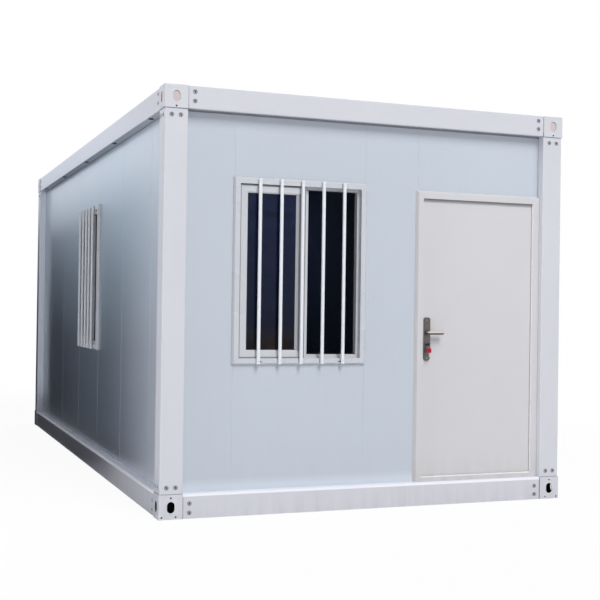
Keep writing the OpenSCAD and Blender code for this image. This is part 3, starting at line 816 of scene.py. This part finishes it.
def fill_joints(bm, node):
    """Tongues in the joints beside a node's panels, a little under their faces."""
    low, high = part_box(node)
    along = 1 if node.startswith(("left", "right")) else 0
    across = 1 - along
    outer, inward = (low[across], 1) if node.startswith(("left", "front")) else (high[across], -1)
    under, depth, widest, lap, reach = 0.0011, 0.004, 0.012, 0.002, 0.003
    faces = sorted({round(v.co[along], 5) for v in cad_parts[node].data.vertices
                    if abs(v.co[across] - outer) < SAME_PLACE})
    ends = [(a, b) for a, b in zip(faces, faces[1:]) if b - a < widest]
    if node in ("front_wall_left", "front_wall_middle"):
        ends.append((high.x - lap, high.x + reach))
    if node == "front_wall_middle":
        ends.append((low.x - reach, low.x + lap))
    for a, b in ends:
        start, stop = Vector((0, 0, low.z)), Vector((0, 0, high.z))
        start[along], stop[along] = a, b
        start[across], stop[across] = sorted((outer + inward * under, outer + inward * depth))
        box(bm, start, stop)


class CABIN_OT_floor_and_ceiling(bpy.types.Operator):
    """Finish the floor, its joists and the ceiling"""
    bl_idname = "cabin.floor_and_ceiling"
    bl_label = "Floor and ceiling"

    def execute(self, context):
        coat("floor_board", "floor")
        coat("floor_joists", "joist")
        coat("ceiling_panel", "ceiling")
        return {"FINISHED"}


class CABIN_OT_roof(bpy.types.Operator):
    """Finish the roof sheet and add its edge flashing and screws"""
    bl_idname = "cabin.roof"
    bl_label = "Roof"

    def execute(self, context):
        coat("roof_sheet", "roof")
        low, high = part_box("roof_sheet")
        flashing_w, sheet_t, upstand_t, top_gap, screw_margin = 0.05, 0.0015, 0.002, 0.004, 0.09
        cover_z = high.z + 0.0012
        bm = bmesh.new()
        edge = (low.x, high.x, low.y, high.y)
        ring(bm, *edge, cover_z, cover_z + sheet_t, flashing_w)
        ring(bm, *edge, cover_z + sheet_t, HIGH.z - top_gap, upstand_t)
        lying = Matrix(((1, 0, 0, 0), (0, 0, 1, 0), (0, 1, 0, 0), (0, 0, 0, 1)))
        bm.transform(lying)
        add_piece("roof_edge_flashing", bm, ("steel",), "cabin")
        bm = bmesh.new()
        count = sizes().roof_screws
        pitch = (high.x - low.x - 2.0 * screw_margin) / (count - 1)
        for y in rib_places():
            for i in range(count):
                place = (low.x + screw_margin + i * pitch, y, high.z)
                socket_head(bm, turned((0, 0, 1), place), 0.018, 0.010, 0.0015, 0.005)
        add_piece("roof_screws", bm, ("rubber", "rubber", "zinc"), "cabin", 40)
        return {"FINISHED"}


def rib_places():
    """Middles of the roof sheet's ribs, read from its highest points."""
    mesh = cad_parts["roof_sheet"].data
    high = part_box("roof_sheet")[1].z
    tops = sorted({round(v.co.y, 4) for v in mesh.vertices if v.co.z > high - 1e-4})
    return [(tops[i] + tops[i + 1]) / 2.0 for i in range(0, len(tops) - 1, 2)]


# ---------------------------------------------------------------- windows

def window_place(side):
    """Takes a window's own frame (X right, Y inwards, Z up, origin at the middle of
    its foot on the panels' face) to the cabin's."""
    low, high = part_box(side + "_guard_bars")
    middle = (low + high) / 2.0
    if side == "front":
        return Matrix.Translation((middle.x, FRONT_Y, low.z))
    left = Matrix.Translation((-SIDE_X, middle.y, low.z)) @ Matrix.Rotation(-math.pi / 2.0, 4, "Z")
    return left if side == "left" else Matrix.Diagonal((-1, 1, 1, 1)) @ left


def own_points(node, place):
    """A node's vertices in a window's own frame."""
    inverse = place.inverted()
    return [inverse @ v.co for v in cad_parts[node].data.vertices]


def own_box(node, place):
    """The box of a node in a window's own frame."""
    return box_of(own_points(node, place))


def box_of(points):
    """The lowest and highest corners of some points."""
    return (Vector([min(p[i] for p in points) for i in range(3)]),
            Vector([max(p[i] for p in points) for i in range(3)]))


def own_panes(side, place):
    """The boxes of a window's two panes in its own frame, front one first."""
    points = own_points(side + "_window_glass", place)
    middle = (min(p.y for p in points) + max(p.y for p in points)) / 2.0
    return [box_of([p for p in points if p.y < middle]),
            box_of([p for p in points if p.y > middle])]


def glazing(side, place):
    """White glazing beads and black rubber round both faces of each pane."""
    beads = bmesh.new()
    rubber = bmesh.new()
    sashes = own_box(side + "_window_sashes", place)
    panes = own_panes(side, place)
    pane_depth = panes[0][0].y - sashes[0].y
    bead_w, bead_under, bead_slope = 0.010, 0.0025, pane_depth - 0.0065
    bead_gap, rubber_gap, rubber_t = 0.0004, 0.0003, 0.0022
    for low, high in panes:
        for glass_y, away in ((low.y, -1), (high.y, 1)):
            ring(beads, low.x, high.x, low.z, high.z, glass_y + away * (pane_depth - bead_under),
                 glass_y + away * bead_gap, bead_w, -away * bead_slope)
            ring(rubber, low.x + bead_w, high.x - bead_w, low.z + bead_w, high.z - bead_w,
                 glass_y + away * rubber_t, glass_y + away * rubber_gap, sizes().seal_w)
    return beads, rubber


def sash_seals(side, place):
    """The seal round the front sash, widened and darkened as painted shade of the recess round
    it, and the hook of its meeting stile with a grey strip beside it, both standing for the
    shaded steps of that stile (painted shade).
    """
    low, _ = own_box(side + "_window_sashes", place)
    front = own_panes(side, place)[0]
    stile = front[0].x - low.x
    sunk, proud, strip_proud, strip_w = 0.0004, 0.0008, 0.0010, 0.011
    seals = bmesh.new()
    # Painted shade: a real seal, widened and darkened to stand for the shade in the recess round
    # the sash
    ring(seals, low.x, front[1].x + stile, low.z, front[1].z + stile,
         low.y - proud, low.y + sunk, sizes().sash_seal_w)
    # Painted shade: a grey strip beside the meeting stile stands for the shade of its step
    box(seals, (front[1].x - 0.001, low.y - strip_proud, front[0].z),
        (front[1].x + strip_w, low.y + sunk, front[1].z))
    # Painted shade: the hook is given a darker copy of the profile's white
    hook = bmesh.new()
    box(hook, (front[1].x - 0.021, low.y + 0.0035, front[0].z + 0.0101),
        (front[1].x - 0.0005, front[0].y - 0.0003, front[1].z - 0.0101), 0.001)
    return seals, hook


def window_extras(side):
    """Beads, seals, tracks, drains, screws and sealant of one window."""
    place = window_place(side)
    frame_low, frame_high = own_box(side + "_window_frame", place)
    sash_low, sash_high = own_box(side + "_window_sashes", place)
    bars_low, bars_high = own_box(side + "_guard_bars", place)
    panes = own_panes(side, place)
    beads, rubber = glazing(side, place)
    seals, hook = sash_seals(side, place)
    rear_low, rear_high = panes[1]
    stile = panes[0][0].x - sash_low.x
    lip_z = rear_low.z - stile
    sash_t = 2.0 * (panes[0][0].y - sash_low.y) + panes[0][1].y - panes[0][0].y
    rear_y = sash_high.y - sash_t

    tracks = bmesh.new()
    rail_h, half_rail, track_end = 0.006, 0.001, 0.020
    for y in (rear_y + sash_t * 0.25, rear_y + sash_t * 0.75, frame_high.y - 0.006):
        free_from = (rear_high.x + stile + 0.001 if y < sash_high.y
                     else sash_low.x + track_end)
        x_end = -sash_low.x - track_end
        if free_from >= x_end:
            continue
        box(tracks, (free_from, y - half_rail, lip_z),
            (x_end, y + half_rail, lip_z + rail_h), 0.0004)

    drains = bmesh.new()
    drain_in, slot_half_w, slot_half_h, cap_t = 0.030, 0.012, 0.002, 0.0008
    z = (frame_low.z + sash_low.z) / 2.0
    for x in (bars_low.x + drain_in, -bars_low.x - drain_in):
        rod(drains, turned((0, -1, 0), (x, frame_low.y - 0.0002, z)), 0.0045, cap_t, 16)
        box(drains, (x - slot_half_w, frame_low.y - cap_t, z - slot_half_h),
            (x + slot_half_w, frame_low.y + 0.0002, z + slot_half_h))

    screws = bmesh.new()
    bar_count, screw_in, screw_sunk, screw_h = 5, 0.020, 0.0008, 0.0028
    bar_d = bars_high.y - bars_low.y
    spacing = (bars_high.x - bars_low.x - bar_d) / (bar_count - 1)
    for i in range(bar_count):
        x = bars_low.x + bar_d / 2.0 + i * spacing
        for z in (bars_low.z + screw_in, bars_high.z - screw_in):
            socket_head(screws, turned((0, -1, 0), (x, bars_low.y + screw_sunk, z)),
                        0.0, sizes().screw_d, 0.0, screw_h)

    caulk = bmesh.new()
    bead, bead_t = 0.003, 0.0015
    ring(caulk, frame_low.x - bead, frame_high.x + bead,
         frame_low.z - bead, frame_high.z + bead, -bead_t, 0.0, bead)

    pieces = (
        ("glazing_beads", beads, ("trim",), "window_profile"),
        ("glazing_rubber", rubber, ("rubber",), "window_glass"),
        ("sill_tracks", tracks, ("trim",), "window_profile"),
        ("drain_holes", drains, ("rubber",), "window_profile"),
        ("bar_screws", screws, ("bar", "rubber", "bar"), "guard_bar"),
        ("sealant", caulk, ("trim",), "window_profile"),
        ("sash_seals", seals, ("seal",), "window_profile"),
        ("meeting_hook", hook, ("hook",), "window_profile"),
    )
    for name, bm, finishes, slot in pieces:
        bm.transform(place)
        smooth = 30 if name == "bar_screws" else 0
        add_piece(side + "_" + name, bm, finishes, "cabin", smooth)


class CABIN_OT_windows(bpy.types.Operator):
    """Finish the three windows and add their seals, beads, tracks and screws"""
    bl_idname = "cabin.windows"
    bl_label = "Windows"

    def execute(self, context):
        for side in WINDOWS:
            coat(side + "_window_frame", "trim")
            coat(side + "_window_sashes", "trim")
            coat(side + "_window_glass", "glass")
            coat(side + "_guard_bars", "bar")
            window_extras(side)
        return {"FINISHED"}


# ---------------------------------------------------------------- door

def spindle():
    """Middle of the spindle between the two levers."""
    low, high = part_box("door_levers")
    radius = (high.z - low.z) / 2.0
    return Vector((low.x + radius, (low.y + high.y) / 2.0, low.z + radius))


class CABIN_OT_door(bpy.types.Operator):
    """Finish the door, its frame and its furniture"""
    bl_idname = "cabin.door"
    bl_label = "Door"

    def execute(self, context):
        coat("door_leaf", "door")
        coat("door_frame", "door")
        coat("door_hinge_pins", "zinc")
        coat("door_hinge_plates", "zinc")
        coat("door_lock_set", "plate")
        coat("door_levers", "lever")
        coat("door_key", "key_metal")
        return {"FINISHED"}


class CABIN_OT_door_seals(bpy.types.Operator):
    """Seal and liner of the door frame's stop, head strip, and sweep under the leaf; the head
    strip is painted shade under the frame's head, and the liner's light white is painted light
    on the stop's shaded faces
    """
    bl_idname = "cabin.door_seals"
    bl_label = "Door seals"

    def execute(self, context):
        low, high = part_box("door_leaf")
        face_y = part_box("door_frame")[0].y
        seal_w, leaf_clearance, rounding, liner_t, sweep_in = 0.0085, 0.0012, 0.001, 0.0012, 0.012
        seal = bmesh.new()
        ring(seal, low.x + 0.001, high.x - 0.001, low.z + 0.001, high.z - 0.001,
             low.y - 0.0049, low.y - leaf_clearance, seal_w)
        add_piece("door_stop_seal", seal, ("trim",), "cabin")
        # Painted shade: a grey strip under the frame's head stands for the shade over the recessed
        # leaf
        strip = bmesh.new()
        box(strip, (low.x + 0.009, low.y - 0.012, high.z - 0.022),
            (high.x - 0.011, low.y - leaf_clearance, high.z - 0.0102), rounding)
        add_piece("door_head_strip", strip, ("seal",), "cabin")
        # Painted light: the liner is a light white, lighter than the door paint, standing for
        # light on the stop's shaded inner faces
        liner = bmesh.new()
        ring(liner, low.x + 0.008, high.x - 0.010, low.z - 0.005, high.z - 0.010,
             face_y + 0.0015, low.y - 0.006, liner_t)
        box(liner, (low.x + 0.010, face_y + 0.004, low.z - 0.0045),
            (high.x - 0.012, low.y - 0.008, low.z + 0.0015), rounding)
        add_piece("door_stop_liner", liner, ("liner",), "cabin")
        sweep = bmesh.new()
        box(sweep, (low.x + sweep_in, low.y + 0.0015, low.z - 0.0035),
            (high.x - sweep_in, low.y + 0.010, low.z), 0.0006)
        add_piece("door_sweep", sweep, ("trim",), "door")
        return {"FINISHED"}


class CABIN_OT_lock_details(bpy.types.Operator):
    """Screws and roses of the lock plates, latch plate and strike plate"""
    bl_idname = "cabin.lock_details"
    bl_label = "Lock details"

    def execute(self, context):
        s = sizes()
        centre = spindle()
        plates_low, plates_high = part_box("door_lock_set")
        leaf_low, leaf_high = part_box("door_leaf")
        collar_proud, screw_h, rose_h, rose_wall, rose_depth = 0.003, 0.002, 0.006, 0.0037, 0.0056
        plate_t = leaf_low.y - plates_low.y - collar_proud
        faces = ((leaf_low.y - plate_t, -1), (leaf_high.y + plate_t, 1))
        bm = bmesh.new()
        for z in (plates_high.z - 0.020, plates_low.z + 0.018):
            for y, out in faces:
                place = turned((0, out, 0), (centre.x, y, z))
                socket_head(bm, place, 0.0, s.screw_d, 0.0, screw_h)
        add_piece("lock_plate_screws", bm, ("zinc", "rubber", "zinc"), "door", 40)

        bm = bmesh.new()
        for y, out in faces:
            place = turned((0, out, 0), (centre.x, y, centre.z))
            collar = rod(bm, place, 0.0185, rose_h, 40, 0.0165)
            sink(bm, collar, rose_wall, Vector((0, -out * rose_depth, 0)))
        add_piece("lever_roses", bm, ("plate",), "door", 40)

        bm = bmesh.new()
        plate_proud, latch_proud, latch_half_h, jamb_gap = 0.0012, 0.0045, 0.012, 0.007
        box(bm, (leaf_low.x - plate_proud, leaf_low.y + 0.010, centre.z - 0.16),
            (leaf_low.x, leaf_high.y - 0.011, centre.z + 0.08), 0.0003)
        box(bm, (leaf_low.x - latch_proud, leaf_low.y + 0.015, centre.z - latch_half_h),
            (leaf_low.x - plate_proud, leaf_low.y + 0.029, centre.z + latch_half_h), 0.001)
        add_piece("latch_plate", bm, ("plate",), "door")

        jamb_x = leaf_low.x - jamb_gap
        bm = bmesh.new()
        box(bm, (jamb_x, leaf_low.y + 0.008, centre.z - 0.11),
            (jamb_x + 0.001, leaf_high.y - 0.009, centre.z + 0.05))
        add_piece("strike_plate", bm, ("plate",), "cabin")
        return {"FINISHED"}


def key_blank(bm, shoulder, length):
    """A key's blade hanging from its shoulder, notched along one edge."""
    rng = random.Random(7)
    steps, half_w, half_t = 7, 0.004, 0.0011
    for i in range(steps):
        cut = rng.uniform(0.0005, 0.0022)
        z = shoulder[2] - length * i / steps
        box(bm, (shoulder[0] - half_w + cut, shoulder[1] - half_t, z - length / steps),
            (shoulder[0] + half_w, shoulder[1] + half_t, z))


class CABIN_OT_keys(bpy.types.Operator):
    """Key ring with a second key, hung from the key in the lock"""
    bl_idname = "cabin.keys"
    bl_label = "Keys"

    def execute(self, context):
        low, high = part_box("door_key")
        x = (low.x + high.x) / 2.0
        ring_r = 0.010
        wire_r = 0.0009
        eye = Vector((x, low.y + 0.006, low.z + 0.004))
        centre = eye - Vector((0, 0, ring_r))
        turn = Matrix.Translation(centre) @ Matrix.Rotation(math.radians(-45), 4, "Z")
        on_ring = Matrix.Translation((ring_r, 0, 0)) @ Matrix.Rotation(math.radians(90), 4, "X")
        bm = bmesh.new()
        profile = bmesh.ops.create_circle(bm, segments=10, radius=wire_r, matrix=turn @ on_ring)
        wire = profile["verts"] + linked(profile["verts"], "link_edges")
        bmesh.ops.spin(bm, geom=wire, cent=centre, axis=turn.to_3x3() @ Vector((0, 1, 0)),
                       angle=2 * math.pi, steps=36, use_merge=True)
        add_piece("key_ring", bm, ("zinc",), "door", 60)

        head_w, head_half_t, blade_l = 0.032, 0.0042, 0.030
        head_top = centre.z - ring_r + 0.003
        bm = bmesh.new()
        box(bm, (x - head_w / 2.0, centre.y - head_half_t, head_top - head_w),
            (x + head_w / 2.0, centre.y + head_half_t, head_top), 0.0038)
        add_piece("spare_key_head", bm, ("key",), "door", 40)
        bm = bmesh.new()
        key_blank(bm, (x, centre.y, head_top - head_w), blade_l)
        add_piece("spare_key_blade", bm, ("zinc",), "door")
        return {"FINISHED"}


# ---------------------------------------------------------------- stage

CAMERA_PLACE = (-3.194, -9.931, 1.371)
CAMERA_YAW = 0.3641
CAMERA_PITCH = 0.0072
CAMERA_ROLL = 0.0139
CAMERA_LENS = 66.4

WHITE = (1.0, 1.0, 1.0)
YARD_H = 3.2
# Brightness up the reflected yard, from the ground to YARD_H
NEAR_YARD = (
    (0.0, (0.11, 0.13, 0.16, 1.0)),
    (0.30, (0.15, 0.175, 0.21, 1.0)),
    (0.50, (0.26, 0.32, 0.37, 1.0)),
    (0.72, (0.48, 0.56, 0.64, 1.0)),
    (0.86, (0.88, 0.96, 1.05, 1.0)),
    (1.0, (1.0, 1.02, 1.08, 1.0)),
)
FAR_YARD = (
    (0.0, (0.006, 0.006, 0.008, 1.0)),
    (0.35, (0.012, 0.013, 0.018, 1.0)),
    (0.55, (0.055, 0.068, 0.09, 1.0)),
    (0.70, (0.16, 0.18, 0.21, 1.0)),
    (0.78, (0.52, 0.57, 0.64, 1.0)),
    (1.0, (0.95, 1.0, 1.08, 1.0)),
)
YARD_GAP = (0.86, 0.87, 0.92)
NEAR_GROUND = (0.45, 0.46, 0.50)
FAR_GROUND = (0.065, 0.064, 0.068)

# Each lamp's name, place, target, width, height, power, colour and spread in degrees
LAMPS = (
    ("key_light", (2.8, -19.5, 20.4), (0.0, -2.0, 1.4), 8.6, 12.6, 5650.0, WHITE, 180.0),
    ("side_light", (-10.0, 3.0, 6.0), (-1.5, 0.0, 1.4), 5.0, 4.0, 90.0, WHITE, 180.0),
    ("post_light", (-4.6, -3.4, 1.4), (-1.5, -3.2, 1.4), 0.8, 2.8, 42.0, WHITE, 180.0),
    ("back_light", (6.0, 9.0, 7.0), (0.0, 0.0, 1.4), 6.0, 5.0, 600.0, WHITE, 180.0),
    ("jamb_light", (-0.02, -3.08, 1.35), (1.34, -2.96, 1.35), 0.12, 2.4, 0.42, WHITE, 16.0),
    ("far_post_light", (-1.56, 0.75, 1.55), (-1.465, 2.84, 1.55), 0.05, 2.4, 0.3,
     (0.78, 0.92, 1.0), 8.0),
    ("room_light", (0.2, 1.6, 2.1), (1.4, 2.4, 2.05), 0.6, 0.7, 1.0, (0.30, 0.45, 1.0), 180.0),
)


def aim_camera():
    """A camera at eye height off the door end's left corner."""
    forward = Vector((math.sin(CAMERA_YAW) * math.cos(CAMERA_PITCH),
                      math.cos(CAMERA_YAW) * math.cos(CAMERA_PITCH), math.sin(CAMERA_PITCH)))
    level = Vector((math.cos(CAMERA_YAW), -math.sin(CAMERA_YAW), 0.0))
    upright = level.cross(forward)
    right = level * math.cos(CAMERA_ROLL) + upright * math.sin(CAMERA_ROLL)
    up = upright * math.cos(CAMERA_ROLL) - level * math.sin(CAMERA_ROLL)
    data = bpy.data.cameras.new("camera")
    data.lens = CAMERA_LENS
    data.sensor_width = 36.0
    camera = bpy.data.objects.new("camera", data)
    bpy.context.scene.collection.objects.link(camera)
    columns = Matrix((right, up, -forward)).transposed()
    camera.matrix_world = Matrix.Translation(CAMERA_PLACE) @ columns.to_4x4()
    bpy.context.scene.camera = camera


def stage_plane(name, corners, material):
    """A flat sheet of the stage, which is no part of the cabin."""
    bm = bmesh.new()
    bm.faces.new([bm.verts.new(corner) for corner in corners])
    mesh = bpy.data.meshes.new(name)
    bm.to_mesh(mesh)
    bm.free()
    mesh.materials.append(material)
    plane = bpy.data.objects.new(name, mesh)
    bpy.context.scene.collection.objects.link(plane)
    return plane


def pale_floor():
    """Floor that a camera sees as near white, with the object's shadow kept."""
    shader = Shader("stage_floor")
    seen = shader.node("ShaderNodeLightPath", {}, {}, "Is Camera Ray")
    diffuse = shader.node("ShaderNodeBsdfDiffuse", {}, {"Color": (0.8, 0.8, 0.82, 1.0)})
    glow = shader.node("ShaderNodeEmission", {}, {"Color": opaque(WHITE), "Strength": 1.0})
    x, y, _ = shader.axes()
    shade_x, shade_y, near_glow = 4.0, 6.5, 0.94
    away = (((x / shade_x) ** 2.0 + (y / shade_y) ** 2.0 - 1.0) * 0.9).clamped()
    share = near_glow + away * 0.06
    shader.finish(shader.node("ShaderNodeMixShader", {}, {0: seen * share, 1: diffuse, 2: glow}))
    reach, z = 40.0, LOW.z - 0.0005
    corners = [(-reach, -reach, z), (reach, -reach, z), (reach, reach, z), (-reach, reach, z)]
    stage_plane("stage_floor", corners, shader.material)


def reflection_card(name, corners, shade):
    """A glowing sheet that only reflections see."""
    shader = Shader(name)
    glow = shader.node("ShaderNodeEmission", {}, {"Color": shade(shader), "Strength": 1.0})
    shader.finish(glow)
    card = stage_plane(name, corners, shader.material)
    card.visible_camera = False
    card.visible_diffuse = False
    card.visible_shadow = False
    card.visible_transmission = False


def reflected_yard():
    """A yard beside the left wall: pale sky over a dark far end, and dark ground."""
    def upright(shader):
        _, y, z = shader.axes()
        near, far = [shader.node("ShaderNodeValToRGB", {"stops": stops}, {0: z / YARD_H})
                     for stops in (NEAR_YARD, FAR_YARD)]
        yard = shader.blend(((y + 0.3) / 5.4).clamped() ** 1.25, near, far)
        return shader.blend(((y + 1.10) / 0.25).clamped(), YARD_GAP, yard)

    def ground(shader):
        y = shader.axes()[1]
        return shader.blend(((y + 2.4) / 2.4).clamped(), NEAR_GROUND, FAR_GROUND)

    x, wall_x = LOW.x - 0.42, LOW.x - 0.01
    y0, y1, top, low = LOW.y + 0.2, HIGH.y + 8.0, YARD_H + 0.2, 0.002
    reflection_card("reflected_yard",
                    [(x, y0, 0.0), (x, y1, 0.0), (x, y1, top), (x, y0, top)], upright)
    reflection_card("reflected_ground", [(x - 0.1, y0, low), (wall_x, y0, low),
                                         (wall_x, y1, low), (x - 0.1, y1, low)], ground)


def soft_box(name, place, target, width, height, power, colour, spread):
    """An area lamp that lights without being seen."""
    data = bpy.data.lights.new(name, "AREA")
    data.shape = "RECTANGLE"
    data.size = width
    data.size_y = height
    data.energy = power
    data.color = colour
    data.spread = math.radians(spread)
    light = bpy.data.objects.new(name, data)
    bpy.context.scene.collection.objects.link(light)
    away = (Vector(place) - Vector(target)).to_track_quat("Z", "Y")
    light.matrix_world = Matrix.Translation(place) @ away.to_matrix().to_4x4()
    light.visible_camera = False
    light.visible_glossy = False


def sky():
    """White where it is seen or reflected, and a plain soft light elsewhere."""
    world = bpy.data.worlds.new("sky")
    bpy.context.scene.world = world
    shader = Shader("sky", world)
    camera, glossy, through = [
        shader.node("ShaderNodeLightPath", {}, {}, ray)
        for ray in ("Is Camera Ray", "Is Glossy Ray", "Is Transmission Ray")]
    ambient = shader.node("ShaderNodeBackground", {},
                          {"Color": (0.93, 0.96, 1.0, 1.0), "Strength": 0.24})
    white = shader.node("ShaderNodeBackground", {}, {"Color": opaque(WHITE)})
    seen = camera.at_least(glossy).at_least(through)
    mixed = shader.node("ShaderNodeMixShader", {}, {0: seen, 1: ambient, 2: white})
    shader.finish(mixed, "ShaderNodeOutputWorld")


class CABIN_OT_stage(bpy.types.Operator):
    """Camera, floor, sky and lamps"""
    bl_idname = "cabin.stage"
    bl_label = "Stage"

    def execute(self, context):
        context.scene.view_settings.view_transform = "Standard"
        aim_camera()
        pale_floor()
        reflected_yard()
        sky()
        for lamp in LAMPS:
            soft_box(*lamp)
        return {"FINISHED"}


# ---------------------------------------------------------------- add-on

class CABIN_PT_panel(bpy.types.Panel):
    """Lists the cabin's steps"""
    bl_label = "Cabin"
    bl_space_type = "VIEW_3D"
    bl_region_type = "UI"
    bl_category = "Cabin"

    def draw(self, context):
        for settings in (context.scene.cabin_colours, context.scene.cabin_sizes):
            box_layout = self.layout.box()
            for name in settings.bl_rna.properties.keys():
                if name not in ("rna_type", "name"):
                    box_layout.prop(settings, name)
        for step in STEPS:
            self.layout.operator(step.bl_idname)


STEPS = (
    CABIN_OT_steel_frame,
    CABIN_OT_frame_bolts,
    CABIN_OT_beam_grommets,
    CABIN_OT_corner_joints,
    CABIN_OT_walls,
    CABIN_OT_floor_and_ceiling,
    CABIN_OT_roof,
    CABIN_OT_windows,
    CABIN_OT_door,
    CABIN_OT_door_seals,
    CABIN_OT_lock_details,
    CABIN_OT_keys,
    CABIN_OT_stage,
)
CLASSES = (CabinColours, CabinSizes) + STEPS + (CABIN_PT_panel,)


def register():
    for cls in CLASSES:
        bpy.utils.register_class(cls)
    bpy.types.Scene.cabin_colours = PointerProperty(type=CabinColours)
    bpy.types.Scene.cabin_sizes = PointerProperty(type=CabinSizes)


def unregister():
    del bpy.types.Scene.cabin_sizes
    del bpy.types.Scene.cabin_colours
    for cls in reversed(CLASSES):
        bpy.utils.unregister_class(cls)


def main():
    register()
    for step in STEPS:
        group, name = step.bl_idname.split(".")
        getattr(getattr(bpy.ops, group), name)()


if __name__ == "__main__":
    main()
